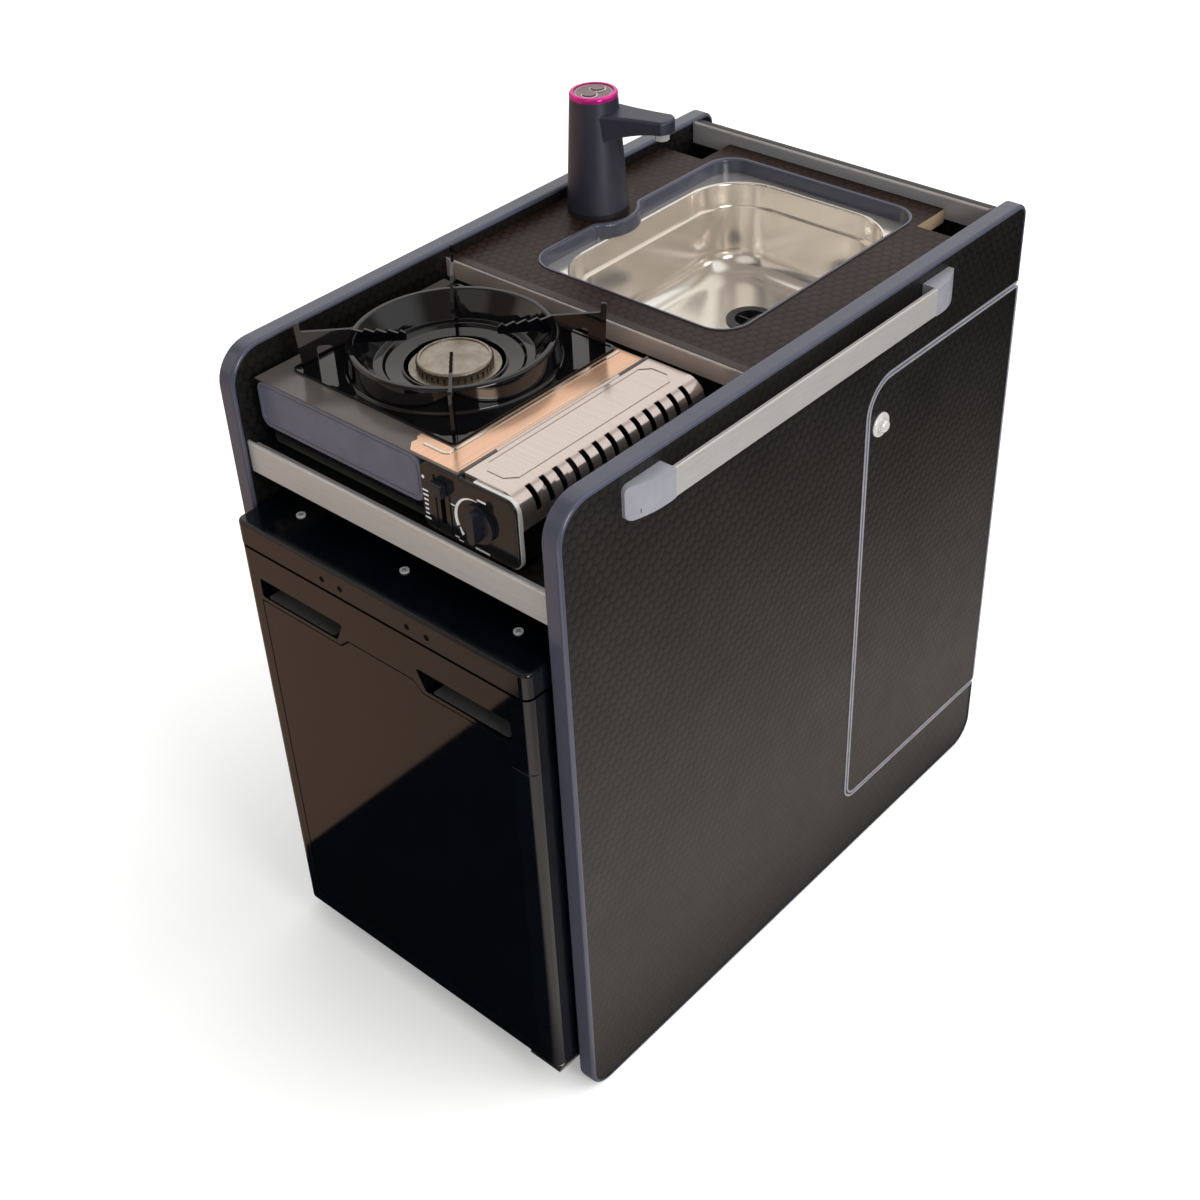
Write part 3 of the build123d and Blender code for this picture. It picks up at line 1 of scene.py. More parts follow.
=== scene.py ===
import json
import math

import bmesh
import bpy
from mathutils import Matrix, Vector


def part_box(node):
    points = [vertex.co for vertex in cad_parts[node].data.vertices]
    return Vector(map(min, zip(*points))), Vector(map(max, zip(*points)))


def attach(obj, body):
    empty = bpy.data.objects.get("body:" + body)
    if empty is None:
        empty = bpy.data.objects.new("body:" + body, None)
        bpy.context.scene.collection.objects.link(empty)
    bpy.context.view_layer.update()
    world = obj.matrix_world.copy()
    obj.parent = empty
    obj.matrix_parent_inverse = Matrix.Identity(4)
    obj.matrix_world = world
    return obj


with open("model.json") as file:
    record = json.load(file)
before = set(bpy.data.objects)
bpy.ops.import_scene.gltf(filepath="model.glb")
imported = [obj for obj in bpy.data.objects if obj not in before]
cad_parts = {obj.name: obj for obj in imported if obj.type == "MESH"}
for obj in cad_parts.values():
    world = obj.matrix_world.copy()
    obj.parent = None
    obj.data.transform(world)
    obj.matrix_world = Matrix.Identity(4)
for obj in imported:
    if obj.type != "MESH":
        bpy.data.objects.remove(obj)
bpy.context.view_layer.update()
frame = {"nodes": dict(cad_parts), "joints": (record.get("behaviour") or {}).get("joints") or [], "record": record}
nodes = frame["nodes"]
scene = bpy.context.scene
scene.view_settings.view_transform = "Standard"
MM = 0.001


# Node helpers
class Surface:
    """A material with short calls for the nodes that drive its Principled shader."""

    def __init__(self, name, **values):
        self.material = bpy.data.materials.new(name)
        self.material.use_nodes = True
        self.nodes = self.material.node_tree.nodes
        self.links = self.material.node_tree.links
        self.shader = self.nodes["Principled BSDF"]
        self.place = self.nodes.new("ShaderNodeTexCoord")
        for socket, value in values.items():
            self.shader.inputs[socket.replace("_", " ")].default_value = value

    def join(self, target, source):
        if hasattr(source, "links"):
            self.links.new(source, target)
        else:
            target.default_value = source

    def math(self, how, a, b=0.0):
        node = self.nodes.new("ShaderNodeMath")
        node.operation = how
        self.join(node.inputs[0], a)
        self.join(node.inputs[1], b)
        return node.outputs[0]

    def vector(self, how, a, b=(0, 0, 0)):
        node = self.nodes.new("ShaderNodeVectorMath")
        node.operation = how
        self.join(node.inputs[0], a)
        self.join(node.inputs[1], b)
        return node.outputs["Value" if how in ("LENGTH", "DOT_PRODUCT") else "Vector"]

    def axes(self, of="Object"):
        """The three parts of the place, or of the normal."""
        node = self.nodes.new("ShaderNodeSeparateXYZ")
        self.links.new(self.place.outputs[of], node.inputs[0])
        return node.outputs

    def pair(self, a, b):
        node = self.nodes.new("ShaderNodeCombineXYZ")
        self.join(node.inputs[0], a)
        self.join(node.inputs[1], b)
        return node.outputs[0]

    def noise(self, scale, stretch=(1, 1, 1), detail=3.0, rough=0.55):
        spread = self.vector("MULTIPLY", self.place.outputs["Object"], stretch)
        node = self.nodes.new("ShaderNodeTexNoise")
        node.inputs["Scale"].default_value = scale
        node.inputs["Detail"].default_value = detail
        node.inputs["Roughness"].default_value = rough
        self.links.new(spread, node.inputs["Vector"])
        return node.outputs[0]

    def ramp(self, fac, *stops):
        node = self.nodes.new("ShaderNodeValToRGB")
        points = node.color_ramp.elements
        while len(points) < len(stops):
            points.new(0.5)
        for point, (at, tint) in zip(points, stops):
            point.position = at
            point.color = (*tint, 1)
        self.links.new(fac, node.inputs[0])
        return node.outputs[0]

    def span(self, fac, low, high, start=0.0, end=1.0):
        node = self.nodes.new("ShaderNodeMapRange")
        for socket, value in zip(node.inputs, (fac, start, end, low, high)):
            self.join(socket, value)
        return node.outputs[0]

    def blend(self, fac, a, b):
        node = self.nodes.new("ShaderNodeMix")
        node.data_type = "RGBA"
        self.join(node.inputs["Factor"], fac)
        self.join(node.inputs[6], a)
        self.join(node.inputs[7], b)
        return node.outputs[2]

    def colour(self, source):
        self.links.new(source, self.shader.inputs["Base Color"])

    def roughness(self, source):
        self.links.new(source, self.shader.inputs["Roughness"])

    def bump(self, height, depth, strength):
        node = self.nodes.new("ShaderNodeBump")
        node.inputs["Strength"].default_value = strength
        node.inputs["Distance"].default_value = depth
        self.links.new(height, node.inputs["Height"])
        if self.shader.inputs["Normal"].links:
            self.links.new(self.shader.inputs["Normal"].links[0].from_socket, node.inputs["Normal"])
        self.links.new(node.outputs[0], self.shader.inputs["Normal"])

    def hexagons(self, pair, pitch):
        """Distance from the middle of the nearest cell of a honeycomb, in cells."""
        tall = math.sqrt(3.0)
        grid = self.vector("MULTIPLY", pair, (1 / pitch, 1 / (pitch * tall), 0))
        near = []
        for shift in (0.0, 0.5):
            moved = self.vector("ADD", grid, (shift, shift, 0))
            part = self.vector("SUBTRACT", self.vector("FRACTION", moved), (0.5, 0.5, 0))
            near.append(self.vector("LENGTH", self.vector("MULTIPLY", part, (1, tall, 0))))
        return self.math("MINIMUM", near[0], near[1])


# Makers of looks, with lengths in metres and noise scales per metre. A face looks along an axis when that
# part of its normal is above FACING
FACING = 0.7
NOISE_LOW, NOISE_HIGH = 0.3, 0.7
cell_pitch, cell_depth = 0.0113, 0.0012
# The grooves between the emboss's cells are darkened in colour: painted shade in the recesses
groove_start, groove_end, groove_painted_shade = 0.36, 0.56, 0.3
ply_step = 0.003


def between(dark, light):
    """Stops of a ramp over the range where most of a noise lies."""
    return (NOISE_LOW, dark), (NOISE_HIGH, light)


def shaded(share, colour):
    return [share * c for c in colour]


def embossed(name, dark, light, axis, ply, gloss=0.36):
    """Laminate with a honeycomb emboss on its broad faces, square to an axis, its grooves darkened as painted
    shade, and plies on its cut edges.
    """
    s = Surface(name, Specular_IOR_Level=gloss)
    place, facing = s.axes(), s.axes("Normal")
    cells = s.hexagons(s.pair(*[place[i] for i in range(3) if i != axis]), cell_pitch)
    cloud = s.noise(scale=9.0, detail=4.0)
    face = s.blend(
        s.span(cells, 1.0, 0.0, groove_start, groove_end),
        (*shaded(groove_painted_shade, dark), 1),
        s.ramp(cloud, *between(dark, light)),
    )
    layer = s.math("FRACT", s.math("MULTIPLY", place[axis], 1 / ply_step))
    grain = s.noise(scale=60.0, stretch=(1, 1, 8))
    edge = s.blend(
        s.math("GREATER_THAN", layer, 0.5),
        s.ramp(grain, *between(shaded(0.62, ply), shaded(0.8, ply))),
        s.ramp(grain, *between(shaded(0.9, ply), ply)),
    )
    broad = s.math("GREATER_THAN", s.math("ABSOLUTE", facing[axis]), FACING)
    s.colour(s.blend(broad, edge, face))
    s.roughness(s.span(s.noise(scale=45.0), low=0.34, high=0.46))
    s.bump(s.math("MULTIPLY", s.math("POWER", cells, 2.0), -1.0), cell_depth, strength=0.5)
    s.bump(s.noise(scale=1500.0, detail=2.0), depth=0.00006, strength=0.5)
    return s.material


def satin(name, dark, light, rough, scale=70.0, grain=900.0, depth=0.00005, sway=0.04, **values):
    """Paint or plastic with a slight cloud in its colour and a fine grain."""
    s = Surface(name, **values)
    s.colour(s.ramp(s.noise(scale), *between(dark, light)))
    s.roughness(s.span(s.noise(scale * 2.5), rough - sway, rough + sway, NOISE_LOW, NOISE_HIGH))
    s.bump(s.noise(grain, detail=2.0), depth, strength=0.6)
    return s.material


def brushed(name, dark, light, rough, along, depth=0.00002, fine=1400.0, sway=0.04, cap=None, **values):
    """Metal with fine lines along one axis, and a darker colour on its upward faces where one is given."""
    s = Surface(name, **{"Metallic": 1.0, **values})
    stretch = tuple(0.02 if i == along else 1.0 for i in range(3))
    streaks = s.noise(fine, stretch, detail=4.0, rough=0.6)
    tint = s.ramp(streaks, *between(dark, light))
    if cap:
        top_tint = s.ramp(s.noise(scale=300.0), *between(shaded(0.7, cap), cap))
        tint = s.blend(s.math("GREATER_THAN", s.axes("Normal")[2], FACING), tint, top_tint)
    s.colour(tint)
    s.roughness(s.span(s.noise(scale=30.0), rough - sway, rough + sway, NOISE_LOW, NOISE_HIGH))
    s.bump(streaks, depth, strength=0.5)
    return s.material


def plywood(name, pale):
    """Bare wood with a long grain."""
    s = Surface(name, Specular_IOR_Level=0.3)
    grain = s.noise(scale=14.0, stretch=(0.4, 9.0, 9.0), detail=6.0, rough=0.65)
    s.colour(s.ramp(grain, (0.25, shaded(0.62, pale)), (0.5, pale), (0.8, shaded(1.12, pale))))
    s.roughness(s.span(grain, low=0.5, high=0.68))
    s.bump(grain, depth=0.00015, strength=0.5)
    return s.material


def cast(name, dark, light, rough):
    """Cast metal with small pits."""
    s = Surface(name, Metallic=1.0)
    pits = s.noise(scale=260.0, detail=5.0, rough=0.7)
    s.colour(s.ramp(s.noise(scale=55.0, detail=5.0), *between(dark, light)))
    s.roughness(s.span(pits, rough - 0.1, rough + 0.14, NOISE_LOW, NOISE_HIGH))
    s.bump(pits, depth=0.00022, strength=0.6)
    return s.material


def glassy(name, tint):
    """Clear glass with a slight tint."""
    s = Surface(name, Transmission_Weight=0.92, IOR=1.5)
    s.colour(s.ramp(s.noise(scale=20.0), *between(shaded(0.96, tint), tint)))
    s.roughness(s.span(s.noise(scale=70.0), low=0.02, high=0.07))
    return s.material


# Looks by name: most are material slots of the record, the others belong to single nodes or added pieces
look = {}


def add_look(name, maker, *colours, **values):
    look[name] = maker(name, *colours, **values)


black_dark, black_light = (0.0052, 0.0048, 0.0045), (0.0115, 0.0106, 0.0099)
add_look("laminate", embossed, black_dark, black_light, axis=0, ply=(0.5, 0.36, 0.22), gloss=0.4)
add_look("black_board", embossed, black_dark, black_light, axis=1, ply=(0.02, 0.019, 0.018))
add_look("black_shelf", embossed, black_dark, black_light, axis=2, ply=(0.3, 0.2, 0.12))
add_look(
    "worktop", embossed, (0.015, 0.0075, 0.0055), (0.03, 0.0155, 0.0115),
    axis=2, ply=(0.62, 0.46, 0.3), gloss=0.16,
)
add_look("plywood", plywood, (0.36, 0.25, 0.15))
add_look(
    "trim", satin, (0.058, 0.062, 0.09), (0.066, 0.07, 0.10), rough=0.17,
    scale=14.0, grain=300.0, depth=0.000006, sway=0.02,
)
add_look("band", satin, (0.21, 0.21, 0.24), (0.27, 0.27, 0.305), rough=0.42)

# Rails and handle
add_look("aluminium", brushed, (0.46, 0.435, 0.415), (0.56, 0.535, 0.515), rough=0.4, along=0, Metallic=0.3)
add_look(
    "rear_rail", brushed, (0.36, 0.36, 0.37), (0.45, 0.45, 0.46), rough=0.4, along=0,
    cap=(0.035, 0.033, 0.034), Metallic=0.4,
)
add_look(
    "bay_rail", brushed, (0.56, 0.44, 0.375), (0.66, 0.53, 0.455), rough=0.38, along=0,
    cap=(0.03, 0.016, 0.0125), Metallic=0.3,
)
add_look("handle_bar", brushed, (0.44, 0.425, 0.40), (0.55, 0.535, 0.51), rough=0.38, along=1, Metallic=0.4)
add_look(
    "handle_cap", satin, (0.33, 0.33, 0.375), (0.38, 0.38, 0.43), rough=0.36,
    scale=60.0, grain=700.0, depth=0.00004, Metallic=0.3,
)

# Sink, lock and tap
add_look(
    "sink_steel", brushed, (0.86, 0.82, 0.755), (0.93, 0.89, 0.83), rough=0.17, along=1,
    depth=0.000004, fine=500.0, sway=0.012, Metallic=0.86,
)
add_look("black_plastic", satin, (0.012, 0.012, 0.0135), (0.021, 0.021, 0.024), rough=0.42)
add_look("zinc", brushed, (0.5, 0.5, 0.48), (0.62, 0.62, 0.6), rough=0.34, along=2)
add_look("rosette", brushed, (0.70, 0.68, 0.67), (0.78, 0.76, 0.75), rough=0.28, along=2, Metallic=0.35)
add_look(
    "nozzle", brushed, (0.74, 0.74, 0.75), (0.84, 0.84, 0.85), rough=0.12, along=2,
    depth=0.000004, Metallic=0.55,
)
add_look(
    "tap_charcoal", satin, (0.022, 0.024, 0.043), (0.027, 0.029, 0.051), rough=0.42,
    scale=20.0, grain=1300.0, depth=0.00002, sway=0.015, Specular_IOR_Level=0.9, Metallic=0.25,
)
add_look(
    "tap_disc", satin, (0.14, 0.095, 0.09), (0.20, 0.135, 0.127), rough=0.3,
    scale=160.0, grain=900.0, depth=0.00003, Metallic=0.3,
)
add_look("anodised_pink", brushed, (0.66, 0.022, 0.26), (0.80, 0.04, 0.36), rough=0.18, along=2, Metallic=0.6)

# Stove
add_look(
    "stove_paint", satin, (0.094, 0.100, 0.140), (0.115, 0.122, 0.170), rough=0.32,
    scale=40.0, grain=1100.0, depth=0.00002, sway=0.02,
)
# Dark warm colour of the mirror-steel top plate: a painted dark reflection on a plain satin
add_look(
    "stove_plate", satin, (0.066, 0.056, 0.05), (0.088, 0.076, 0.068), rough=0.2,
    scale=30.0, grain=900.0, depth=0.00002, Specular_IOR_Level=0.5,
)
# Steel whose warm pinkish tint is a painted reflection of warm surroundings
add_look(
    "stove_steel", brushed, (0.66, 0.57, 0.53), (0.72, 0.63, 0.59), rough=0.17, along=0,
    depth=0.000003, fine=500.0, sway=0.012, Metallic=0.92,
)
# Copper colour of the strip on the steel top plate: a painted reflection
add_look(
    "stove_copper", brushed, (0.78, 0.46, 0.30), (0.88, 0.57, 0.39), rough=0.2, along=1,
    depth=0.000004, fine=600.0, sway=0.02, Metallic=0.7,
)
add_look(
    "stove_bead", brushed, (0.74, 0.72, 0.66), (0.82, 0.80, 0.75), rough=0.2, along=1,
    depth=0.000003, fine=600.0,
)
# Light colour of the strips along the rails' top edges and round the control panel: painted highlights
add_look("stove_edge", satin, (0.60, 0.585, 0.56), (0.70, 0.685, 0.66), rough=0.22, Metallic=0.25)
add_look(
    "control_black", satin, (0.006, 0.006, 0.0068), (0.010, 0.010, 0.011), rough=0.1,
    scale=60.0, grain=400.0, depth=0.00001, sway=0.02,
)
add_look(
    "knob", satin, (0.006, 0.0075, 0.012), (0.011, 0.013, 0.02), rough=0.3,
    scale=60.0, grain=700.0, depth=0.00003,
)
add_look(
    "enamel", satin, (0.0016, 0.0016, 0.0022), (0.003, 0.003, 0.004), rough=0.06,
    scale=45.0, grain=60.0, depth=0.00002, Specular_IOR_Level=0.55,
)
add_look("burner_alloy", cast, (0.31, 0.265, 0.22), (0.48, 0.425, 0.365), rough=0.4)
add_look("brass", brushed, (0.55, 0.4, 0.17), (0.68, 0.52, 0.25), rough=0.3, along=1)
add_look("mark_white", satin, (0.78, 0.78, 0.78), (0.86, 0.86, 0.86), rough=0.45)
add_look("mark_grey", satin, (0.42, 0.41, 0.41), (0.5, 0.49, 0.49), rough=0.4)

# Fridge
add_look(
    "gloss_black", satin, (0.0008, 0.0013, 0.0024), (0.0014, 0.0021, 0.0036), rough=0.05,
    scale=25.0, grain=30.0, depth=0.000004, sway=0.01,
)
add_look(
    "fridge_case", satin, (0.0011, 0.0021, 0.0038), (0.002, 0.0034, 0.006), rough=0.12,
    scale=25.0, grain=500.0, depth=0.000006, sway=0.02,
)
add_look("screw", brushed, (0.78, 0.78, 0.78), (0.86, 0.86, 0.86), rough=0.3, along=0, Metallic=0.15)
# Grey of the lit floors of the finger pulls: painted light
add_look("pull_grey", satin, (0.07, 0.067, 0.066), (0.088, 0.085, 0.083), rough=0.3)
add_look("seam", satin, (0.0012, 0.001, 0.001), (0.002, 0.0018, 0.0016), rough=0.8, Specular_IOR_Level=0.1)
add_look(
    "liner", satin, (0.74, 0.75, 0.76), (0.8, 0.81, 0.82), rough=0.3,
    scale=12.0, grain=300.0, depth=0.00004,
)
add_look("glass", glassy, (0.86, 0.95, 0.93))
add_look(
    "rubber", satin, (0.014, 0.014, 0.014), (0.024, 0.024, 0.024), rough=0.66,
    scale=90.0, grain=600.0, depth=0.0001,
)
add_look(
    "compressor_black", satin, (0.012, 0.012, 0.012), (0.02, 0.02, 0.02), rough=0.3,
    scale=50.0, grain=240.0, depth=0.0001,
)

# Nodes whose look isn't their slot's
special = {
    "handle_bar": "handle_bar", "rear_rail": "rear_rail", "worktop_edge_rail": "bay_rail",
    "back_panel": "black_board", "divider_panel": "black_board", "stove_bay_riser": "black_board",
    "stove_shelf": "black_shelf", "floor_panel": "black_shelf",
    "lock_rosette": "rosette", "lock_button": "rosette", "tap_nozzle": "nozzle", "tap_top": "tap_disc",
    "tap_flow_button": "tap_disc", "tap_power_button": "tap_disc",
    "stove_top_plate": "stove_plate", "stove_control_panel": "control_black",
    "stove_knob": "knob", "stove_lever": "knob", "fridge_top_screws": "screw",
}

for sub in frame["record"]["subparts"]:
    node = nodes[sub["node"]]
    chosen = look[special.get(sub["node"], sub["material_slot"])]
    node.data.materials.clear()
    node.data.materials.append(chosen)


# Added pieces, in millimetres. Each dips a little way into the face that it lies on
DIP = 0.15
strip_flat, strip_mitre = 0.8, 0.4
plate_bevel = 0.3
button_wall, button_top = 0.6, 0.82
bend_steps, halo_steps, disc_steps = 8, 36, 72


def box(name):
    """The two corners of a node's box."""
    return [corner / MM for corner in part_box(name)]


def on_front(y):
    return lambda u, v, h: Vector((u, y - h, v)) * MM


def on_top(z):
    return lambda u, v, h: Vector((u, v, z + h)) * MM


def on_right(x):
    return lambda u, v, h: Vector((x + h, u, v)) * MM


def arc(centre, radius, start, end, steps):
    """Points of an arc, with its angles in degrees."""
    turn = [math.radians(start + (end - start) * i / steps) for i in range(steps + 1)]
    return [(centre[0] + radius * math.cos(t), centre[1] + radius * math.sin(t)) for t in turn]


def ring(centre, radius, steps):
    """Points of a whole circle, each once."""
    return arc(centre, radius, 0, 360 - 360 / steps, steps - 1)


def rounded(low, high, radius, steps=6):
    """Points of a rectangle with round corners, or cut ones where steps is 1."""
    (x0, y0), (x1, y1) = low, high
    middles = (
        (x1 - radius, y0 + radius), (x1 - radius, y1 - radius),
        (x0 + radius, y1 - radius), (x0 + radius, y0 + radius),
    )
    return [p for i, m in enumerate(middles) for p in arc(m, radius, 90 * i - 90, 90 * i, steps)]


def add_strip(mesh, path, place, width, rise, closed):
    """A line with sloping sides that follows a path on a face."""
    points = [Vector(p) for p in path]
    rows = []
    for i, p in enumerate(points):
        back = p - points[i - 1] if closed or i else points[1] - p
        ahead = points[(i + 1) % len(points)] - p if closed or i + 1 < len(points) else back
        back, ahead = back.normalized(), ahead.normalized()
        way = (back + ahead).normalized()
        side = Vector((-way.y, way.x)) / max(way.dot(ahead), strip_mitre)
        rows.append([
            mesh.verts.new(place(*(p + side * w * width / 2), h))
            for w, h in ((-1, -DIP), (-strip_flat, rise), (strip_flat, rise), (1, -DIP))
        ])
    pairs = list(zip(rows, rows[1:] + rows[:1])) if closed else list(zip(rows, rows[1:]))
    for a, b in pairs:
        for k in range(4):
            mesh.faces.new((a[k], b[k], b[(k + 1) % 4], a[(k + 1) % 4]))
    if not closed:
        mesh.faces.new(rows[0])
        mesh.faces.new(rows[-1][::-1])


def add_button(mesh, centre, radius, rise, place, steps=24):
    """A low round dot with a sloping edge."""
    rings = [
        [mesh.verts.new(place(*p, h)) for p in ring(centre, r, steps)]
        for r, h in ((radius, -DIP), (radius, button_wall * rise), (button_top * radius, rise))
    ]
    for low, high in zip(rings, rings[1:]):
        for i in range(steps):
            k = (i + 1) % steps
            mesh.faces.new((low[i], low[k], high[k], high[i]))
    mesh.faces.new(rings[-1])
    mesh.faces.new(rings[0][::-1])


def add_plate(mesh, outline, place, rise):
    """A thin plate with bevelled edges, lying on a face."""
    points = [Vector(p) for p in outline]
    middle = sum(points, Vector((0, 0))) / len(points)
    low = [mesh.verts.new(place(*p, -DIP)) for p in points]
    high = [mesh.verts.new(place(*(p + plate_bevel * (middle - p).normalized()), rise)) for p in points]
    for i in range(len(points)):
        k = (i + 1) % len(points)
        mesh.faces.new((low[i], low[k], high[k], high[i]))
    mesh.faces.new(high)
    mesh.faces.new(low[::-1])


def piece(name, body, material, mesh):
    """Turns a finished mesh into a piece that rides on a body."""
    bmesh.ops.recalc_face_normals(mesh, faces=mesh.faces)
    data = bpy.data.meshes.new(name)
    mesh.to_mesh(data)
    mesh.free()
    data.materials.append(material)
    made = bpy.data.objects.new(name, data)
    scene.collection.objects.link(made)
    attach(made, body)


def lines(name, body, slot, material, place, *strips):
    """One piece made of strips, each a path with its width, rise and whether it closes."""
    mesh = bmesh.new()
    for path, width, rise, closed in strips:
        add_strip(mesh, path, place, width, rise, closed)
    piece(name, body, material, mesh)


# Light strips along the rails' top edges as painted highlights, and the slot of the handle's front cap as a dark
# strip of painted shade
highlight_rise = 0.35
highlight_widths = {"front_rail": 1.6, "worktop_edge_rail": 2.4, "rear_rail": 2.6}
for name, highlight in highlight_widths.items():
    low, high = box(name)
    lines(
        name + "_painted_highlight", "cabinet", "aluminium", look["stove_edge"], on_front(low.y),
        ([(low.x + highlight, high.z - highlight), (high.x - highlight, high.z - highlight)], highlight, highlight_rise, False),
    )

# The slot is drawn as a flat dark strip on the face: painted shade inside the slot
slot_inset, slot_length, slot_width, slot_rise = 4.5, 4.0, 1.1, 0.0
low, high = box("handle_end_caps")
slot_y, slot_top = low.y + slot_inset, (low.z + high.z) / 2
lines(
    "handle_cap_slot", "cabinet", "handle_cap", look["rubber"], on_right(high.x),
    ([(slot_y, slot_top - slot_length), (slot_y, slot_top)], slot_width, slot_rise, False),
)

# Pressed borders of the stove's front and lid
border_width, border_bend = 1.8, 9.0
front_inset, front_rise = 4.5, 0.6
low, high = box("stove_front")
front_border = rounded(
    (low.x + front_inset, low.z + front_inset), (high.x - front_inset, high.z - front_inset), border_bend,
)
lines(
    "stove_front_border", "stove", "stove_paint", look["stove_paint"], on_front(low.y),
    (front_border, border_width, front_rise, True),
)

lid_sheet, lid_rise = 1.2, 0.7
lid_inner, lid_outer, lid_front, lid_rear = 7.0, 24.0, 13.7, 12.0
hinge = next(Vector(joint["pos_m"]) / MM for joint in frame["joints"] if joint["name"] == "stove_lid_hinge")
low, high = box("stove_lid")
lid_border = rounded(
    (hinge.x + lid_inner, low.y + lid_front), (high.x - lid_outer, high.y - lid_rear), border_bend, 1,
)
lines(
    "stove_lid_border", "stove_lid", "stove_steel", look["stove_steel"], on_top(hinge.z + lid_sheet / 2),
    (lid_border, border_width, lid_rise, True),
)

# Strip beside the pan support, placed from the support's corner, its copper colour a painted reflection in the
# steel plate, and its two beads
plate_sheet, strip_rise = 1.5, 0.5
strip_gap, strip_hinge_gap, strip_front_gap, strip_rear_gap = 1.6, 4.0, 2.0, 1.5
strip_foot = ((-37.0, -3.0), (-37.0, -8.0), (-33.0, -12.0), (-34.0, -18.0), (-26.0, -27.0))
plate_low, plate_high = box("stove_top_plate")
pan_low, pan_high = box("pan_support")
corner = Vector((pan_high.x, pan_low.y))
foot = [corner + Vector(p) for p in strip_foot]
plate_face = plate_low.z + plate_sheet
strip_left, strip_right = corner.x + strip_gap, hinge.x - strip_hinge_gap
strip_front, strip_rear = plate_low.y + strip_front_gap, plate_high.y - strip_rear_gap
mesh = bmesh.new()
add_plate(
    mesh,
    [
        *foot, (strip_right, strip_front), (strip_right, strip_rear), (strip_left, strip_rear),
        (strip_left, foot[0].y),
    ],
    on_top(plate_face), strip_rise,
)
piece("stove_top_strip", "stove", look["stove_copper"], mesh)

bead_width, bead_rise, bead_bend, bead_seat = 3.0, 0.9, 6.5, 0.4
bead_gap, bead_front_gap, bead_reach, bead_rear_gap = 5.5, 13.0, 23.0, 5.0
crease_width, crease_rise, crease_gap, crease_front_gap = 0.9, 0.5, 7.4, 18.0
bead_x, bead_y, bead_rear = corner.x + bead_gap, corner.y - bead_front_gap, plate_high.y - bead_rear_gap
crease_x = hinge.x - crease_gap
bead = [
    (corner.x - bead_reach, bead_y),
    *arc((bead_x - bead_bend, bead_y + bead_bend), bead_bend, -90, 0, bend_steps),
    (bead_x, bead_rear),
]
lines(
    "stove_top_bead", "stove", "stove_steel", look["stove_bead"], on_top(plate_face + bead_seat),
    (bead, bead_width, bead_rise, False),
    ([(crease_x, corner.y - crease_front_gap), (crease_x, bead_rear)], crease_width, crease_rise, False),
)

# Marks of the controls, placed from the knob's middle and the panel's edges
mark_rise = 0.12
dial_left, dial_down = 4.0, 3.0
dial_inner, dial_outer, dial_blunt = 23.2, 27.4, 4
panel_low, panel_high = box("stove_control_panel")
knob_low, knob_high = box("stove_knob")
lever_low, lever_high = box("stove_lever")
on_panel = on_front(panel_low.y)
dial_x, dial_z = (knob_low.x + knob_high.x) / 2 - dial_left, (knob_low.z + knob_high.z) / 2 - dial_down


def sweep(start, end, steps):
    """Outline of a curved mark round the dial that widens along its length from a blunt end."""
    inside, outside = [], []
    for i in range(steps + 1):
        turn = math.radians(start + (end - start) * i / steps)
        reach = dial_inner + (dial_outer - dial_inner) * (i + dial_blunt) / (steps + dial_blunt)
        inside.append((dial_x + dial_inner * math.cos(turn), dial_z + dial_inner * math.sin(turn)))
        outside.append((dial_x + reach * math.cos(turn), dial_z + reach * math.sin(turn)))
    return outside + inside[::-1]


# Curved marks, each with its angles in degrees and its steps, and bars, each with its place across and up
# from the dial's middle, its half length and its thickness
dial_sweeps = ((84, 205, 24), (208, 226, 6))
dial_bars = (
    (8.0, 26.0, 5.0, 2.2), (-26.5, 8.5, 3.6, 1.5), (-26.0, -23.6, 2.4, 1.6), (-21.5, -26.0, 3.0, 1.6),
    (4.0, -26.0, 8.5, 2.4),
)
mesh = bmesh.new()
for start, end, steps in dial_sweeps:
    add_plate(mesh, sweep(start, end, steps), on_panel, mark_rise)
for across, rise, half, thick in dial_bars:
    middle = Vector((dial_x + across, dial_z + rise))
    ends = [middle - Vector((half, 0)), middle + Vector((half, 0))]
    add_strip(mesh, ends, on_panel, thick, mark_rise, False)
piece("stove_dial_marks", "stove", look["mark_white"], mesh)

scale_inset, scale_down, scale_step, scale_thick = 5.4, 29.4, 4.7, 2.0
scale_halves = (3.4, 3.2, 2.6, 2.2, 2.0, 2.2, 3.6)
dot_r, dot_left, dot_down = 1.7, 1.2, 16.0
scale_x, scale_top = panel_low.x + scale_inset, panel_high.z - scale_down
mesh = bmesh.new()
for i, half in enumerate(scale_halves):
    z = scale_top - i * scale_step
    add_strip(mesh, [(scale_x - half, z), (scale_x + half, z)], on_panel, scale_thick, mark_rise, False)
add_button(mesh, (scale_x - dot_left, panel_high.z - dot_down), dot_r, mark_rise, on_panel)
piece("stove_lever_marks", "stove", look["mark_white"], mesh)

track_gap, track_foot, track_head, track_width, track_rise = 1.6, 5.0, 3.0, 1.6, 1.1
track_low, track_high = panel_low.z + track_foot, lever_high.z + track_head
lines(
    "stove_lever_track", "stove", "gloss_black", look["control_black"], on_panel,
    *[
        ([(x, track_low), (x, track_high)], track_width, track_rise, False)
        for x in (lever_low.x - track_gap, lever_high.x + track_gap)
    ],
)

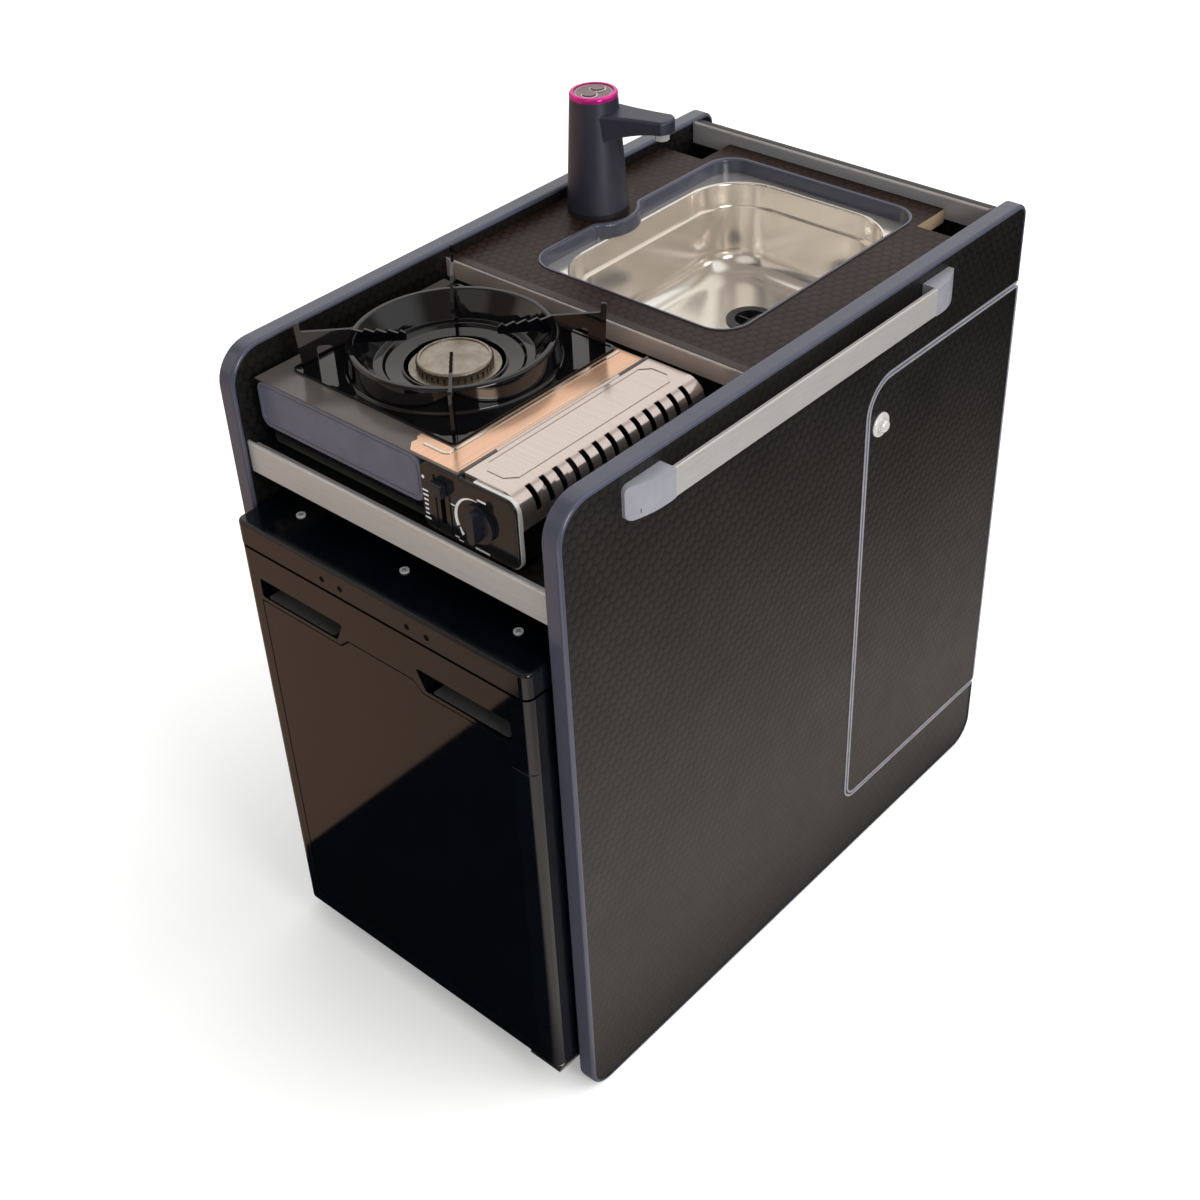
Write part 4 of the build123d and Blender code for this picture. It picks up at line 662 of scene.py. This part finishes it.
# The control panel's edge is a real raised strip; its light colour is a painted highlight
edge_out, edge_bend, edge_width, edge_rise = 0.8, 11.8, 1.4, 3.6
edge_foot, edge_run = 12.0, 50.0
edge_x, edge_low, edge_high = panel_high.x + edge_out, panel_low.z - edge_out, panel_high.z + edge_out
panel_border = [
    (panel_low.x + edge_foot, edge_low),
    *arc((edge_x - edge_bend, edge_low + edge_bend), edge_bend, -90, 0, bend_steps),
    *arc((edge_x - edge_bend, edge_high - edge_bend), edge_bend, 0, 90, bend_steps),
    (edge_x - edge_run, edge_high),
]
lines(
    "stove_panel_border", "stove", "gloss_black", look["stove_edge"], on_front(panel_high.y),
    (panel_border, edge_width, edge_rise, False),
)

# Rings on the tap's top and round its buttons
disc_inset, disc_width, disc_rise = 1.9, 0.8, 0.15
halo_gap, halo_width, halo_rise = 0.9, 0.9, 0.3
low, high = box("tap_top")
on_tap = on_top(high.z)
tap_axis = ((low.x + high.x) / 2, (low.y + high.y) / 2)
lines(
    "tap_top_ring", "tap", "tap_charcoal", look["mark_grey"], on_tap,
    (ring(tap_axis, (high.x - low.x) / 2 - disc_inset, disc_steps), disc_width, disc_rise, True),
)
for name in ("tap_flow_button", "tap_power_button"):
    low, high = box(name)
    middle = ((low.x + high.x) / 2, (low.y + high.y) / 2)
    lines(
        name + "_ring", "tap", "tap_charcoal", look["mark_white"], on_tap,
        (ring(middle, (high.x - low.x) / 2 + halo_gap, halo_steps), halo_width, halo_rise, True),
    )

# Plugs in the front of the fridge's top, almost flush because that face is the front of the part's box
plug_r, plug_up, plug_rise = 3.2, 10.0, 0.01
plug_places = (-67.7, -43.4, 44.4, 69.1)
low, high = box("fridge_top")
mesh = bmesh.new()
for x in plug_places:
    add_button(mesh, (x, low.z + plug_up), plug_r, plug_rise, on_front(low.y))
piece("fridge_top_plugs", "cabinet", look["seam"], mesh)

# Crosses of the screws, dark strips standing in for the shade in their recesses: painted shade
screw_r, cross_half, cross_width, cross_rise = 4.5, 2.8, 0.9, 0.08
low, high = box("fridge_top_screws")
middle_y = (low.y + high.y) / 2
mesh = bmesh.new()
for x in (low.x + screw_r, (low.x + high.x) / 2, high.x - screw_r):
    for across, along in ((cross_half, 0.0), (0.0, cross_half)):
        ends = [(x - across, middle_y - along), (x + across, middle_y + along)]
        add_strip(mesh, ends, on_top(high.z), cross_width, cross_rise, False)
piece("fridge_screw_crosses", "cabinet", look["rubber"], mesh)

# Grey patches on the floors of the fridge's finger pulls: painted light where light reaches into them
lit_down, lit_front, lit_rear, lit_side, lit_r, lit_rise = 1.5, 7.0, 0.8, 1.5, 3.0, 0.3
pulls = [
    [Vector(corner) / MM for corner in hollow["box_m"]]
    for hollow in frame["record"]["physics"]["openings"] if hollow["name"].startswith("fridge_pull")
]
mesh = bmesh.new()
for low, high in pulls:
    lit_patch = rounded(
        (low.x + lit_side, low.y + lit_front), (high.x - lit_side, high.y - lit_rear), lit_r,
    )
    add_plate(mesh, lit_patch, on_top(low.z - lit_down), lit_rise)
piece("fridge_pull_painted_light", "fridge_door", look["pull_grey"], mesh)

# Dark seam along the upper edge of the fridge's gloss panel, which drops under each pull
seam_width, seam_rise, seam_drop = 2.4, 0.05, 0.6
lobe_drop, lobe_slant, lobe_before_pull = 10.0, 11.0, 20.5
lobe_inner = min(abs(corner.x) for pull in pulls for corner in pull) - lobe_before_pull
low, high = box("fridge_door_panel")
seam_high = high.z - seam_drop
seam_low = seam_high - lobe_drop
half_seam = [(lobe_inner, seam_high), (lobe_inner + lobe_slant, seam_low)]
seam = [(low.x, seam_low), *[(-x, z) for x, z in half_seam[::-1]], *half_seam, (high.x, seam_low)]
lines(
    "fridge_panel_seam", "fridge_door", "gloss_black", look["seam"], on_front(low.y),
    (seam, seam_width, seam_rise, False),
)

# Camera at the photograph's fitted place, with its angles in degrees and its focal length in pixels
camera_place = (1.0003, -1.1459, 1.4850)
camera_swing, camera_tilt, camera_roll = -43.1934, 37.3935, -2.9032
photo_focal, photo_width, sensor_width = 1764.03, 1200, 36.0
swing, tilt, roll = (math.radians(a) for a in (camera_swing, camera_tilt, camera_roll))
right = Vector((math.cos(swing), -math.sin(swing), 0))
ahead = Vector((math.sin(swing) * math.cos(tilt), math.cos(swing) * math.cos(tilt), -math.sin(tilt)))
up = right.cross(ahead)
columns = (right * math.cos(roll) + up * math.sin(roll), up * math.cos(roll) - right * math.sin(roll), -ahead)
camera = bpy.data.objects.new("camera", bpy.data.cameras.new("camera"))
camera.matrix_world = Matrix.Translation(camera_place) @ Matrix(columns).transposed().to_4x4()
camera.data.sensor_width = sensor_width
camera.data.lens = photo_focal / photo_width * sensor_width
scene.collection.objects.link(camera)
scene.camera = camera

# Floor, pale to the camera. Mirrors see dark ground, brown ground left of it and warm ground right of it
floor_reach, floor_drop, floor_glow = 30.0, 0.0004, 0.24
floor_dark, floor_light = (0.925, 0.925, 0.925), (0.935, 0.935, 0.935)
dark_ground, warm_floor, brown_floor = (0.012, 0.012, 0.013, 1), (0.96, 0.85, 0.77, 1), (0.50, 0.33, 0.235, 1)
brown_edge, dark_ground_edge = (-0.29, -0.284), (0.16, 0.3)
warm_way, warm_fade = (1.0, 0.35, 0.0), (0.36, 1.0)
mesh = bmesh.new()
bmesh.ops.create_grid(mesh, x_segments=4, y_segments=4, size=floor_reach)
data = bpy.data.meshes.new("floor")
mesh.to_mesh(data)
mesh.free()
floor = bpy.data.objects.new("floor", data)
floor.location.z = -floor_drop
scene.collection.objects.link(floor)
paint = Surface("floor", Specular_IOR_Level=0.0, Roughness=0.9, Emission_Color=(1, 1, 1, 1))
pale = paint.ramp(paint.noise(scale=0.8), *between(floor_dark, floor_light))
rays = paint.nodes.new("ShaderNodeLightPath")
across = paint.axes()[0]
spread = paint.vector("DOT_PRODUCT", paint.place.outputs["Object"], warm_way)
mirrored = paint.blend(paint.span(spread, 0.0, 1.0, *warm_fade), warm_floor, dark_ground)
mirrored = paint.blend(paint.span(across, 1.0, 0.0, *dark_ground_edge), mirrored, dark_ground)
mirrored = paint.blend(paint.span(across, 1.0, 0.0, *brown_edge), mirrored, brown_floor)
paint.colour(paint.blend(rays.outputs["Is Glossy Ray"], pale, mirrored))
seen = paint.math("MAXIMUM", rays.outputs["Is Camera Ray"], rays.outputs["Is Transmission Ray"])
paint.links.new(paint.span(seen, 0.0, floor_glow), paint.shader.inputs["Emission Strength"])
data.materials.append(paint.material)

# Light: a pale world, a broad soft sun from behind the right side, and soft panels overhead and at the right
room, fill, backdrop = (0.27, 0.23, 0.20, 1), (0.56, 0.555, 0.55, 1), (0.98, 0.98, 0.98, 1)
world = bpy.data.worlds.new("studio")
scene.world = world
world.use_nodes = True
tree = world.node_tree
shade = tree.nodes["Background"]
rays = tree.nodes.new("ShaderNodeLightPath")
sky = tree.nodes.new("ShaderNodeTexCoord")


def mixed(factor, low, high):
    """Mix of two colours, each a fixed one or the output of a node."""
    node = tree.nodes.new("ShaderNodeMix")
    node.data_type = "RGBA"
    for socket, source in ((node.inputs[0], factor), (node.inputs[6], low), (node.inputs[7], high)):
        if hasattr(source, "links"):
            tree.links.new(source, socket)
        else:
            socket.default_value = source
    return node.outputs[2]


def soft_box(towards, inner, outer):
    """One inside a cone of directions and none outside it, with a soft edge, its angles in degrees."""
    dot = tree.nodes.new("ShaderNodeVectorMath")
    dot.operation = "DOT_PRODUCT"
    tree.links.new(sky.outputs["Generated"], dot.inputs[0])
    dot.inputs[1].default_value = Vector(towards).normalized()
    edge = tree.nodes.new("ShaderNodeMapRange")
    edge.interpolation_type = "SMOOTHSTEP"
    edge.inputs["From Min"].default_value = math.cos(math.radians(outer))
    edge.inputs["From Max"].default_value = math.cos(math.radians(inner))
    tree.links.new(dot.outputs["Value"], edge.inputs["Value"])
    return edge.outputs[0]


# Soft boxes that only mirrors see, each with its direction, inner and outer angle and colour
soft_boxes = (
    ((-0.54, 0.58, 0.61), 22, 44, (1.0, 0.97, 0.94, 1)),
    ((0.6, 0.42, 0.68), 18, 36, (0.96, 0.94, 0.92, 1)),
    ((-0.85, -0.45, 0.35), 12, 26, (0.95, 0.84, 0.72, 1)),
    ((0.25, -0.75, 0.65), 10, 24, (0.72, 0.66, 0.62, 1)),
)
studio = room
for towards, inner, outer, tint in soft_boxes:
    studio = mixed(soft_box(towards, inner, outer), studio, tint)
studio = mixed(rays.outputs["Is Glossy Ray"], fill, studio)
clear = tree.nodes.new("ShaderNodeMath")
clear.operation = "MAXIMUM"
tree.links.new(rays.outputs["Is Camera Ray"], clear.inputs[0])
tree.links.new(rays.outputs["Is Transmission Ray"], clear.inputs[1])
studio = mixed(clear.outputs[0], studio, backdrop)
tree.links.new(studio, shade.inputs["Color"])


def lamp(name, kind, strength, where, aim, mirrored=False, **values):
    """A soft lamp, which is mirrored only where no soft box stands in for it."""
    made = bpy.data.objects.new(name, bpy.data.lights.new(name, kind))
    made.data.energy = strength
    for field, value in values.items():
        setattr(made.data, field, value)
    made.visible_glossy = mirrored
    made.location = where
    made.rotation_mode = "QUATERNION"
    made.rotation_quaternion = (Vector(aim) - Vector(where)).to_track_quat("-Z", "Y")
    scene.collection.objects.link(made)


lamp("key", "SUN", strength=1.5, where=(1.6, 1.3, 2.6), aim=(0, 0, 0), angle=math.radians(50))
lamp(
    "panel", "AREA", strength=11.0, where=(-0.4, 0.9, 2.4), aim=(0, 0.1, 0.6),
    shape="RECTANGLE", size=1.9, size_y=1.5,
)
lamp(
    "side", "AREA", strength=13.0, where=(1.7, -0.6, 1.1), aim=(-0.15, 0.1, 0.76), mirrored=True,
    shape="RECTANGLE", size=0.6, size_y=1.0,
)
